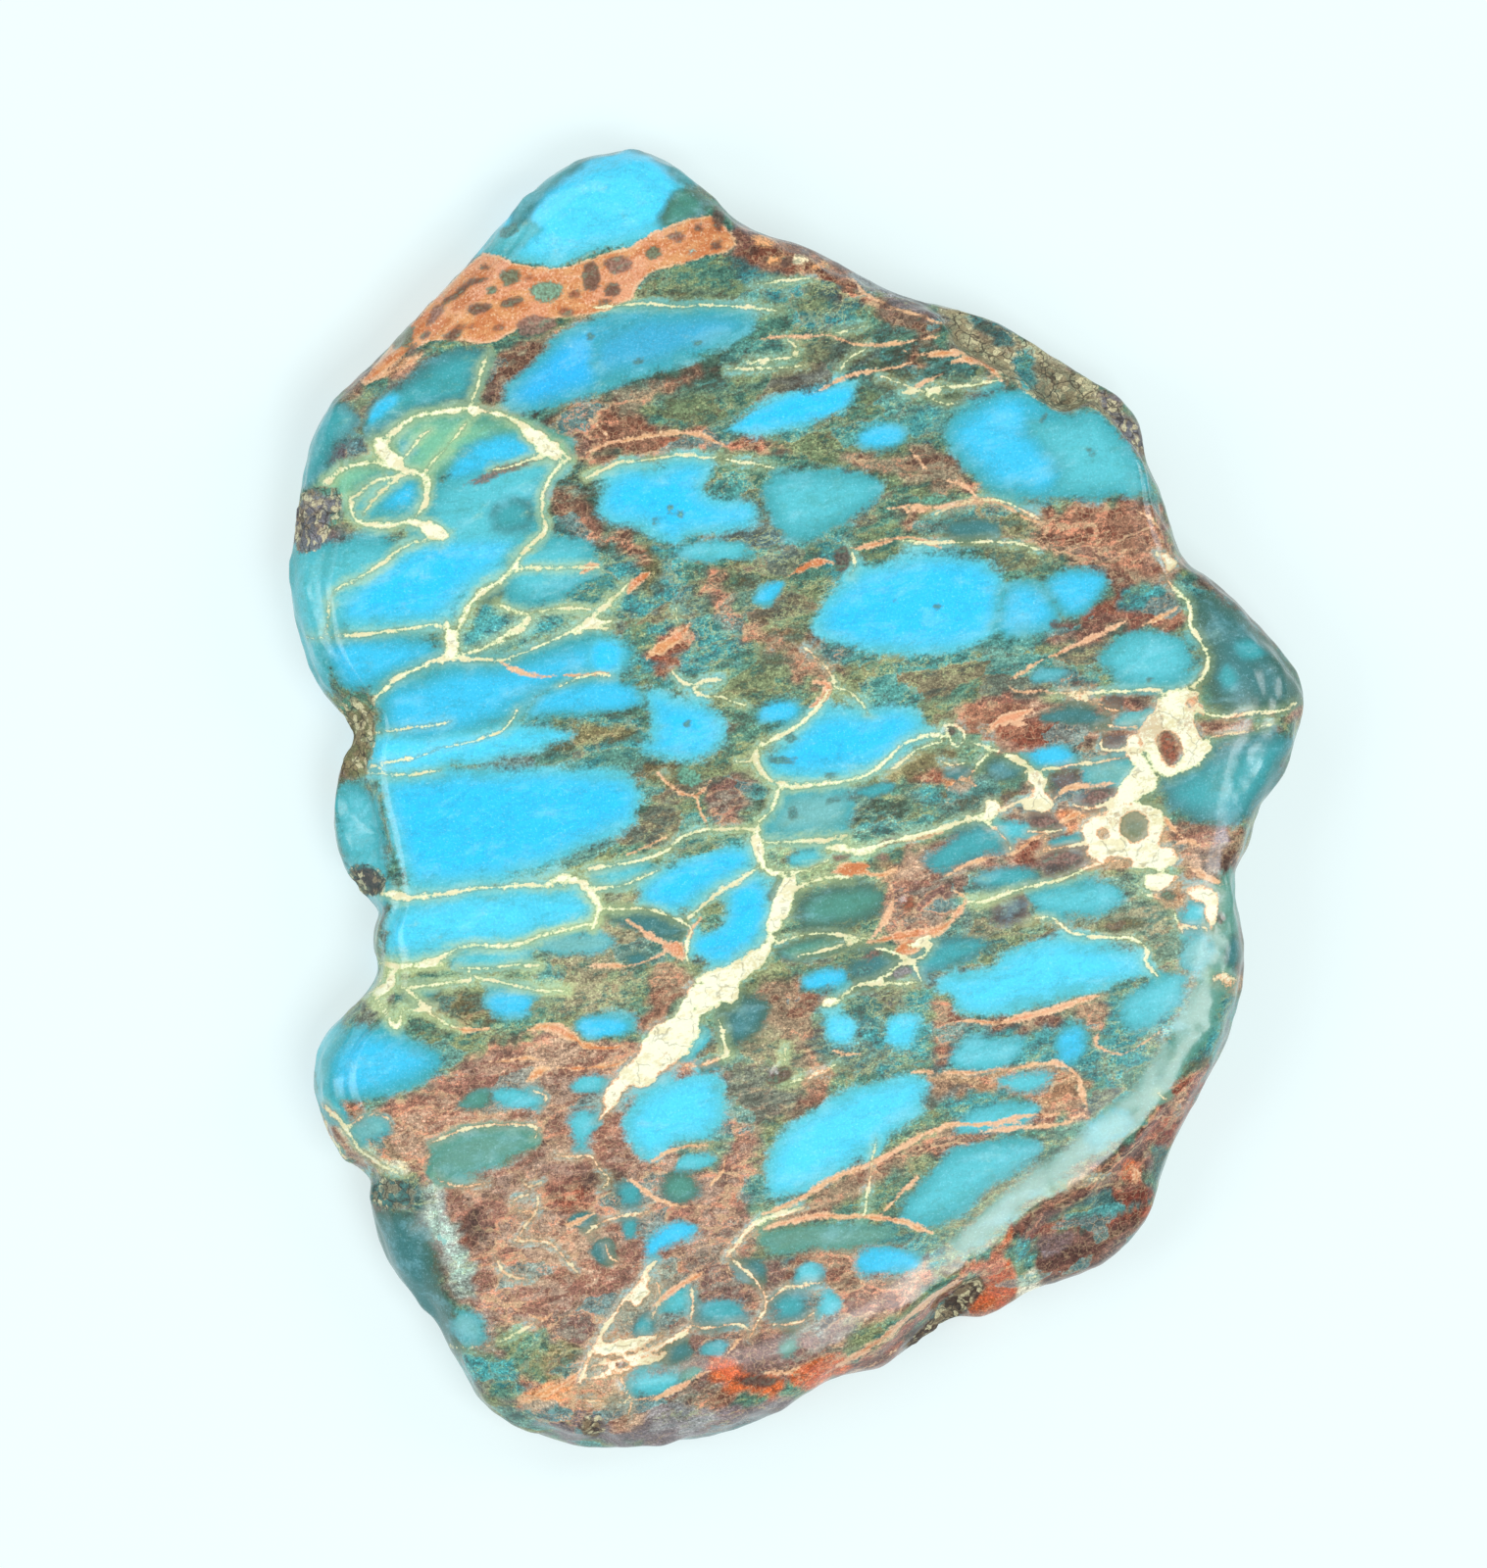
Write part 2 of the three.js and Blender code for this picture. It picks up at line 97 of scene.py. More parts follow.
# Areas of the chart, painted in turn: tone, softness of the border, then x, y pairs round it.
groundAreas = [
    ("green", 14, [648,290, 700,268, 770,255, 850,275, 950,330, 960,352, 830,345, 700,314, 648,314]),
    ("teal", 10, [752,286, 800,280, 838,290, 842,302, 800,306, 757,302]),
    ("olive", 6, [655,303, 700,298, 745,300, 760,308, 655,311]),
    ("teal", 8, [815,322, 850,314, 875,325, 868,340, 840,342, 818,336]),
    ("darkGreen", 8, [880,335, 905,328, 935,332, 930,345, 900,350, 880,348]),
    ("darkGreen", 14, [620,395, 760,350, 960,345, 1020,360, 1020,410, 960,415, 880,400, 800,395, 700,405]),
    ("green", 10, [740,375, 820,350, 850,350, 845,372, 800,385, 745,392]),
    ("darkGreen", 6, [875,362, 905,358, 925,362, 915,378, 885,380]),
    ("green", 12, [610,470, 640,425, 740,395, 760,440, 880,440, 960,420, 960,460, 800,480, 700,465]),
    ("teal", 8, [640,402, 660,396, 685,402, 675,416, 650,420, 636,412]),
    ("teal", 8, [920,425, 945,412, 965,420, 960,445, 935,456, 920,448]),
    ("rust", 8, [500,365, 520,350, 560,345, 590,325, 600,330, 530,395, 520,415, 498,425, 490,400]),
    ("rust", 10, [560,420, 680,385, 730,375, 720,388, 660,408, 660,440, 640,465, 590,480, 560,440]),
    ("redRust", 8, [590,425, 640,418, 660,435, 720,440, 750,448, 800,452, 800,462, 640,462, 600,470]),
    ("darkMauve", 7, [490,395, 520,412, 590,440, 580,460, 520,425, 490,418]),
    ("rust", 9, [845,475, 860,460, 880,458, 900,466, 940,455, 990,480, 1005,505, 975,508, 930,490]),
    ("green", 12, [715,470, 770,478, 830,470, 850,478, 790,488, 730,512, 712,500]),
    ("redRust", 6, [920,360, 960,350, 1005,362, 1020,385, 1000,402, 960,405, 930,395]),
    ("olive", 6, [880,385, 930,372, 960,375, 955,400, 900,405]),
    ("darkGreen", 4, [965,384, 985,380, 1000,386, 985,396, 968,395]),
    ("teal", 14, [600,545, 660,540, 870,545, 880,580, 840,640, 790,640, 720,690, 640,700, 560,640, 560,570]),
    ("green", 12, [700,560, 740,545, 800,550, 850,560, 830,650, 780,640, 745,650, 715,640, 700,600]),
    ("olive", 9, [615,548, 640,540, 665,548, 690,590, 670,600, 640,604, 655,585, 640,560, 618,558]),
    ("olive", 8, [745,560, 775,585, 772,620, 790,640, 850,640, 850,690, 800,690, 760,650, 745,600]),
    ("teal", 10, [750,545, 790,540, 815,552, 800,570, 765,562]),
    ("rust", 9, [712,590, 725,575, 742,590, 745,615, 760,640, 800,648, 850,672, 850,700, 815,700, 790,660,
      745,650]),
    ("redRust", 7, [650,675, 665,655, 708,630, 714,642, 700,660, 692,684, 672,684]),
    ("darkMauve", 8, [815,640, 850,655, 900,668, 880,685, 850,690, 830,668]),
    ("green", 10, [860,668, 920,664, 985,668, 1060,650, 1040,690, 1000,700, 920,705, 870,700]),
    ("green", 8, [895,700, 1000,700, 990,712, 930,712, 900,716]),
    ("rust", 10, [925,515, 1000,505, 1060,520, 1110,522, 1170,515, 1200,545, 1195,600, 1215,640, 1160,640,
      1130,635, 1130,590, 1060,560, 990,552, 925,552]),
    ("olive", 8, [940,520, 1040,520, 1065,540, 1050,552, 940,545]),
    ("green", 8, [960,558, 1050,556, 1070,570, 1060,590, 1020,588]),
    ("darkMauve", 7, [1140,530, 1175,530, 1185,545, 1178,565, 1150,562, 1138,548]),
    ("redRust", 7, [1100,522, 1178,512, 1190,530, 1170,540, 1110,538]),
    ("green", 10, [1020,650, 1060,635, 1100,640, 1110,655, 1030,690, 1000,690]),
    ("redRust", 7, [1120,610, 1150,600, 1200,610, 1212,640, 1150,640, 1080,665]),
    ("teal", 5, [1140,620, 1145,600, 1170,592, 1188,600, 1180,612, 1155,626]),
    ("mauve", 6, [1062,655, 1065,640, 1085,632, 1100,640, 1095,656]),
    ("redRust", 7, [920,785, 960,775, 990,785, 1005,802, 960,808, 925,803]),
    ("mauve", 10, [1000,800, 1150,800, 1135,830, 1100,845, 1050,850, 1010,835]),
    ("pinkRust", 10, [905,880, 960,850, 1100,840, 1100,870, 1040,890, 985,915, 960,960, 915,960, 895,940]),
    ("mauve", 8, [912,905, 990,890, 975,925, 945,945, 912,950, 905,925]),
    ("mauve", 7, [1048,866, 1075,858, 1105,862, 1110,878, 1080,892, 1060,890]),
    ("rust", 8, [1200,735, 1290,730, 1325,722, 1325,740, 1240,756, 1205,752]),
    ("rust", 10, [1190,838, 1240,842, 1275,838, 1265,905, 1225,905, 1185,880, 1165,860]),
    ("greyMauve", 8, [1235,845, 1252,842, 1256,890, 1240,892]),
    ("green", 12, [930,955, 960,960, 1040,918, 1100,900, 1190,905, 1220,940, 1245,950, 1240,1010, 1200,1020,
      1150,975, 1050,955, 960,990, 930,985]),
    ("teal", 10, [925,990, 960,958, 1010,945, 1060,945, 960,1000, 950,1045, 925,1040]),
    ("teal", 12, [950,1045, 1050,1040, 1150,1010, 1210,985, 1230,1010, 1200,1090, 1150,1130, 1090,1140,
      970,1150, 945,1090]),
    ("rust", 8, [950,1000, 975,1040, 1060,1035, 1120,1015, 1135,1030, 1120,1060, 1105,1035, 1060,1050,
      980,1052, 965,1085, 945,1095]),
    ("tan", 8, [950,1092, 1080,1085, 1105,1100, 1110,1135, 1080,1145, 1050,1120, 990,1112, 950,1120]),
    ("teal", 12, [318,560, 345,530, 420,540, 400,560, 340,605, 330,650, 305,650, 300,600]),
    ("darkGreen", 12, [560,470, 610,480, 612,540, 660,545, 640,580, 600,590, 560,560, 552,520]),
    ("rust", 10, [560,495, 590,500, 610,530, 640,545, 665,565, 660,580, 630,560, 590,550, 562,530]),
    ("teal", 10, [545,560, 600,560, 640,570, 650,600, 600,600, 545,590]),
    ("teal", 9, [480,612, 515,590, 600,585, 605,620, 560,655, 500,670, 465,668]),
    ("turqTeal", 7, [468,655, 480,638, 510,630, 545,628, 540,642, 480,668]),
    ("green", 10, [590,650, 650,640, 700,600, 640,690, 540,700]),
    ("teal", 10, [505,762, 540,735, 600,728, 640,730, 668,745, 660,770, 700,785, 690,800, 640,800, 560,785,
      510,785]),
    ("darkGreen", 8, [510,755, 545,738, 600,736, 650,740, 655,758, 550,772, 520,770]),
    ("olive", 6, [530,758, 560,745, 620,738, 650,742, 640,756, 590,756, 545,768]),
    ("green", 12, [630,790, 740,770, 770,790, 765,840, 680,860, 600,890, 560,895, 600,865]),
    ("olive", 8, [640,780, 690,785, 720,800, 715,815, 690,815, 640,795]),
    ("mauve", 10, [722,795, 760,790, 775,800, 765,835, 730,842, 718,825]),
    ("darkGreen", 6, [766,806, 790,805, 788,820, 775,835, 764,828]),
    ("darkGreen", 8, [865,850, 868,835, 885,822, 925,812, 985,812, 990,830, 950,845, 900,852]),
    ("olive", 8, [895,790, 905,772, 935,760, 965,765, 985,780, 960,792, 925,800, 900,800]),
    ("paleGreen", 8, [778,862, 800,857, 850,862, 868,870, 810,893, 780,888]),
    ("tan", 8, [820,885, 860,875, 900,872, 915,890, 900,905, 850,902, 815,905]),
    ("green", 12, [950,800, 1000,800, 1010,825, 1000,840, 920,850, 925,815]),
    ("teal", 10, [925,812, 960,806, 1000,808, 1000,830, 950,832]),
    ("green", 12, [415,1000, 480,985, 600,985, 660,990, 670,1010, 650,1050, 480,1050, 420,1035]),
    ("olive", 10, [430,1015, 500,1005, 510,1035, 480,1050, 440,1045]),
    ("rust", 9, [660,985, 700,985, 712,1000, 680,1042, 655,1062, 500,1060, 510,1075, 600,1085, 640,1080,
      655,1060, 645,1040, 668,1015]),
    ("rust", 12, [762,1015, 800,995, 850,1010, 860,1070, 850,1110, 810,1140, 780,1150, 750,1095, 742,1065,
      775,1050]),
    ("darkMauve", 8, [775,1085, 800,1075, 825,1090, 815,1110, 785,1112]),
    ("teal", 12, [828,1045, 850,1015, 880,1005, 940,1005, 955,1060, 940,1095, 860,1095, 835,1080]),
    ("darkGreen", 8, [865,1012, 900,1003, 925,1008, 910,1035, 885,1042, 870,1030]),
    ("green", 9, [670,1185, 740,1160, 745,1195, 700,1215, 672,1205]),
    ("darkGreen", 8, [680,1195, 715,1190, 718,1225, 690,1232, 675,1215]),
    ("teal", 7, [635,1250, 650,1240, 660,1255, 648,1268, 635,1265]),
    ("rust", 10, [780,1240, 960,1145, 1100,1130, 1110,1140, 1000,1160, 930,1185, 860,1225, 790,1252]),
    ("teal", 9, [770,1285, 850,1250, 920,1255, 960,1265, 960,1310, 900,1330, 820,1320, 780,1310]),
    ("lowRust", 14, [425,1110, 500,1070, 640,1060, 700,1080, 760,1075, 780,1140, 760,1230, 780,1290,
      700,1320, 640,1360, 560,1375, 490,1350, 440,1290, 432,1210, 380,1160, 385,1125]),
    ("pinkRust", 8, [420,1120, 450,1110, 500,1125, 552,1132, 546,1146, 500,1143, 460,1152, 440,1162,
      425,1188, 400,1180, 395,1140]),
    ("pinkRust", 8, [480,1078, 520,1068, 560,1050, 640,1072, 630,1092, 560,1098, 520,1090, 480,1090]),
    ("redRust", 9, [548,1205, 580,1200, 610,1212, 605,1232, 570,1236, 548,1226]),
    ("redRust", 8, [452,1248, 475,1244, 485,1262, 470,1282, 455,1270]),
    ("darkMauve", 8, [548,1140, 575,1128, 582,1160, 565,1175, 548,1165]),
    ("darkMauve", 10, [470,1235, 510,1240, 505,1275, 480,1270]),
    ("darkMauve", 10, [590,1190, 615,1188, 640,1205, 640,1225, 612,1228]),
    ("mauve", 10, [740,1235, 775,1240, 770,1290, 720,1300, 700,1290, 730,1262]),
    ("olive", 7, [500,1152, 546,1152, 548,1168, 526,1184, 505,1186]),
    ("pinkRust", 9, [970,718, 1020,708, 1060,712, 1180,705, 1180,760, 1150,780, 1100,795, 1060,782,
      985,748]),
    ("redRust", 7, [975,716, 1020,710, 1050,716, 1045,735, 1120,750, 1120,765, 1090,772, 1060,762, 1030,765,
      980,745]),
    ("darkMauve", 6, [1092,750, 1120,748, 1130,765, 1128,780, 1100,792, 1085,785]),
    ("darkMauve", 4, [1070,702, 1075,690, 1092,680, 1130,700, 1085,710]),
    ("darkMauve", 4, [1156,706, 1176,704, 1178,718, 1166,727, 1155,720]),
    ("olive", 8, [960,800, 1040,802, 1030,820, 1000,836, 960,832]),
    ("orange", 4, [958,792, 975,786, 992,796, 988,810, 965,808]),
    ("orange", 5, [1078,828, 1105,820, 1112,832, 1095,845, 1078,846]),
    ("redRust", 5, [1030,874, 1045,860, 1068,850, 1072,862, 1062,876, 1045,884]),
    ("tan", 6, [1098,846, 1106,833, 1136,820, 1150,822, 1200,852, 1195,866, 1178,884, 1100,896, 1094,880]),
    ("sage", 12, [985,925, 1100,890, 1150,888, 1175,900, 1200,925, 1200,955, 1240,955, 1240,1010, 1200,1015,
      1165,970, 1060,950, 985,965]),
    ("olive", 7, [1005,950, 1040,935, 1100,940, 1160,930, 1170,945, 1110,955, 1050,948, 1010,962]),
    ("tan", 6, [1170,905, 1205,885, 1250,900, 1262,945, 1245,960, 1205,955, 1192,925]),
    ("pinkRust", 6, [1198,850, 1225,848, 1258,905, 1235,905, 1205,880]),
    ("darkMauve", 6, [1218,875, 1240,862, 1262,868, 1260,895, 1238,905, 1222,892]),
    ("deepTeal", 8, [375,1195, 435,1200, 440,1260, 460,1300, 430,1300, 385,1270, 370,1230]),
    ("deepTeal", 6, [378,1205, 420,1203, 428,1228, 400,1235, 378,1228]),
    ("rust", 8, [320,1125, 345,1120, 380,1140, 420,1190, 370,1200, 330,1165]),
    ("cream", 5, [335,1130, 350,1128, 375,1170, 425,1198, 400,1200, 360,1180]),
    ("greyMauve", 9, [306,505, 340,500, 352,512, 340,540, 318,545, 304,530]),
    ("greyMauve", 5, [405,360, 415,330, 430,308, 486,250, 498,255, 440,318, 412,365]),
    ("olive", 5, [345,745, 372,705, 385,735, 382,790, 350,800, 338,830, 335,790]),
    ("teal", 8, [335,815, 355,795, 385,800, 400,900, 360,905, 340,870]),
    ("darkMauve", 4, [355,890, 375,880, 392,895, 390,915, 372,915]),
    ("darkGreen", 6, [378,925, 395,920, 395,960, 380,965]),
    ("greyMauve", 5, [745,218, 860,262, 950,302, 955,315, 900,300, 830,270, 750,245]),
    ("crust", 5, [945,305, 985,312, 1100,372, 1110,400, 1078,420, 1050,405, 1020,380, 975,355]),
    ("crust", 5, [1060,352, 1145,402, 1170,440, 1172,475, 1150,460, 1120,420, 1085,395]),
    ("greyMauve", 5, [1120,400, 1140,405, 1168,440, 1172,478, 1130,425]),
    ("teal", 4, [985,318, 1020,328, 1040,342, 1020,346, 990,335]),
    ("teal", 4, [1030,365, 1045,355, 1058,368, 1052,388, 1038,385]),
    ("deepTeal", 8, [1200,590, 1225,590, 1275,640, 1250,650, 1225,640, 1205,610]),
    ("darkMauve", 5, [1195,560, 1215,572, 1300,645, 1310,665, 1270,640, 1225,595, 1198,580]),
    ("darkMauve", 6, [1240,900, 1262,905, 1270,960, 1270,1000, 1245,1015]),
    ("deepTeal", 4, [1245,960, 1258,952, 1268,965, 1262,988, 1248,988]),
    ("teal", 3, [1238,1012, 1268,1018, 1272,1050, 1230,1088, 1206,1088, 1232,1040]),
    ("tan", 3, [1234,992, 1268,992, 1270,1014, 1236,1014]),
    ("olive", 4, [1204,1096, 1222,1078, 1244,1078, 1240,1100, 1216,1112]),
    ("sideRed", 3, [1186,1122, 1206,1102, 1240,1094, 1232,1120, 1198,1174, 1176,1174, 1164,1160]),
    ("deepTeal", 3, [1174,1170, 1196,1168, 1196,1210, 1176,1206]),
    ("sideBrown", 3, [1050,1230, 1078,1214, 1105,1205, 1176,1164, 1180,1188, 1142,1204, 1133,1216, 1036,1262,
      1028,1250]),
    ("deepTeal", 4, [1100,1218, 1176,1200, 1180,1228, 1150,1242, 1105,1238]),
    ("sideRed", 2, [1030,1262, 1042,1250, 1080,1243, 1158,1238, 1180,1228, 1184,1242, 1158,1251, 1080,1256,
      1048,1264]),
    ("sideBrown", 4, [1055,1290, 1064,1266, 1158,1248, 1190,1236, 1190,1270, 1150,1300, 1115,1316,
      1060,1322]),
    ("greyMauve", 3, [1054,1262, 1080,1256, 1098,1262, 1090,1276, 1062,1284]),
    ("teal", 3, [1036,1266, 1054,1262, 1058,1280, 1050,1298, 1036,1292]),
    ("ember", 3, [980,1290, 996,1282, 1026,1280, 1036,1296, 1040,1322, 1020,1346, 985,1352, 968,1348,
      990,1326, 1002,1304]),
    ("ember", 2, [1004,1280, 1054,1236, 1064,1236, 1046,1256, 1020,1280]),
    ("cream", 3, [1038,1304, 1062,1296, 1066,1318, 1036,1334]),
    ("sideRed", 4, [850,1398, 890,1380, 925,1358, 930,1372, 925,1392, 890,1412, 850,1420]),
    ("greyMauve", 4, [332,462, 345,448, 365,446, 380,450, 378,468, 336,476]),
    ("greyMauve", 9, [296,505, 350,500, 358,520, 350,545, 335,566, 290,570]),
    ("green", 7, [332,530, 350,524, 368,530, 366,542, 336,544]),
    ("orange", 5, [370,386, 400,366, 432,358, 436,366, 392,392, 372,396]),
    ("bark", 5, [396,352, 448,306, 456,312, 424,352, 404,364]),
    ("rust", 6, [345,402, 398,356, 396,372, 372,396, 352,418]),
    ("mauve", 10, [430,1340, 520,1355, 600,1330, 680,1290, 800,1280, 870,1300, 860,1400, 720,1440, 560,1450,
      470,1410]),
    ("mauve", 9, [690,1300, 740,1290, 800,1300, 850,1330, 850,1385, 790,1392, 700,1360]),
    ("green", 8, [505,1365, 522,1352, 560,1358, 580,1380, 582,1402, 550,1412, 515,1400]),
    ("olive", 8, [552,1370, 580,1366, 596,1385, 590,1408, 560,1412]),
    ("teal", 8, [455,1375, 490,1378, 530,1400, 535,1425, 500,1425, 470,1405]),
    ("orange", 4, [520,1436, 548,1416, 580,1405, 596,1408, 590,1424, 530,1446]),
    ("tan", 6, [590,1420, 600,1380, 655,1302, 680,1285, 700,1290, 690,1320, 668,1340, 670,1360, 700,1366,
      690,1388, 650,1396, 640,1420, 655,1445, 640,1462, 600,1440]),
    ("greyMauve", 7, [545,1434, 600,1440, 700,1430, 760,1432, 820,1425, 815,1460, 740,1480, 640,1482,
      560,1470]),
    ("grey", 6, [656,1434, 700,1432, 735,1436, 730,1458, 690,1466, 660,1458]),
    ("pinkRust", 6, [618,1442, 655,1440, 660,1460, 630,1466]),
    ("bark", 4, [592,1450, 602,1445, 614,1450, 612,1470, 598,1474]),
    ("rust", 5, [696,1418, 738,1414, 760,1424, 740,1438, 700,1436]),
    ("ember", 3, [722,1384, 745,1386, 766,1402, 795,1407, 806,1418, 776,1428, 745,1420, 726,1406]),
    ("sideRed", 3, [748,1404, 764,1400, 784,1408, 776,1416, 756,1414]),
    ("ember", 3, [800,1412, 810,1396, 862,1378, 870,1392, 850,1408, 820,1420]),
    ("crust", 5, [960,322, 1000,330, 1035,350, 1040,380, 1010,378, 975,356]),
    ("deepTeal", 4, [985,318, 1010,326, 1040,342, 1036,354, 1005,346]),
    ("teal", 4, [1032,358, 1046,354, 1060,368, 1060,392, 1044,396, 1034,380]),
    ("beige", 5, [1054,364, 1080,372, 1115,395, 1112,415, 1085,422, 1060,405]),
    ("greyMauve", 5, [1110,384, 1135,398, 1170,440, 1176,475, 1158,462, 1130,425]),
    ("bark", 3, [912,296, 930,294, 948,308, 940,315, 920,308]),
    ("redRust", 3, [1176,750, 1188,743, 1202,748, 1210,765, 1203,786, 1186,784, 1178,768]),
    ("orange", 3, [1206,710, 1220,709, 1222,724, 1208,726]),
    ("redRust", 7, [1070,516, 1130,510, 1180,520, 1205,560, 1192,600, 1140,572, 1090,556, 1050,536]),
    ("rust", 10, [800,1268, 900,1262, 960,1290, 930,1338, 860,1356, 800,1330]),
    ("sage", 14, [560,926, 600,912, 650,905, 668,950, 650,1010, 600,1045, 560,1040, 545,985]),
    ("paleGreen", 8, [806,850, 850,842, 895,850, 902,888, 872,916, 815,912]),
    ("deepTeal", 8, [740,262, 800,262, 850,280, 900,305, 880,320, 820,300, 760,300]),
    ("redRust", 6, [748,236, 770,234, 850,262, 905,304, 890,312, 862,300, 840,284, 800,280, 765,270,
      748,256]),
    ("rust", 6, [872,296, 940,316, 966,332, 960,346, 935,340, 880,312]),
    ("grey", 3, [868,277, 905,290, 968,322, 972,336, 885,300, 864,284]),
    ("bark", 3, [922,297, 940,302, 950,312, 934,312, 920,305]),
    ("teal", 8, [758,276, 838,292, 832,302, 790,300, 760,292]),
    ("sideRed", 3, [1196,1100, 1222,1092, 1246,1078, 1240,1110, 1224,1142, 1204,1165, 1180,1174, 1160,1170,
      1152,1160, 1172,1140]),
    ("sideBrown", 3, [1150,1162, 1175,1165, 1178,1180, 1160,1205, 1120,1216, 1085,1232, 1040,1264, 1028,1262,
      1078,1212]),
    ("ember", 2, [1144,1184, 1158,1180, 1168,1196, 1162,1214, 1150,1212]),
    ("sideRed", 3, [1136,1208, 1174,1206, 1178,1226, 1150,1234, 1134,1224]),
    # Painted highlight: this pale strip along the lower left shoulder stands in for a lamp's reflection.
    ("paintedHighlight", 7, [434,1200, 448,1202, 456,1235, 490,1312, 478,1326, 452,1300, 430,1220]),
    ("sage", 14, [742,1060, 800,1050, 830,1090, 800,1140, 762,1150, 735,1120]),
    ("pinkRust", 16, [545,1255, 600,1245, 640,1280, 622,1316, 570,1312, 540,1290]),
    ("pinkRust", 14, [560,1135, 600,1125, 632,1150, 622,1186, 580,1190, 556,1165]),
    ("sage", 10, [690,1150, 740,1145, 750,1175, 720,1196, 685,1186]),
    ("sage", 14, [975,890, 1030,880, 1050,930, 1010,950, 970,930]),
    ("paleTeal", 12, [795,790, 850,780, 880,810, 860,850, 800,850, 780,820]),
    ("olive", 10, [388,1262, 430,1250, 450,1290, 436,1316, 400,1306]),
    ("darkGreen", 12, [940,352, 1000,360, 1014,404, 960,412, 935,390]),
    ("bark", 2, [918,1384, 924,1364, 948,1346, 966,1324, 986,1302, 1000,1300, 1006,1308, 998,1326, 980,1347,
      955,1368, 936,1390]),
    ("sideRed", 2, [880,1386, 905,1366, 930,1346, 955,1322, 975,1300, 988,1292, 984,1304, 962,1328, 944,1348,
      920,1366, 900,1384]),
]
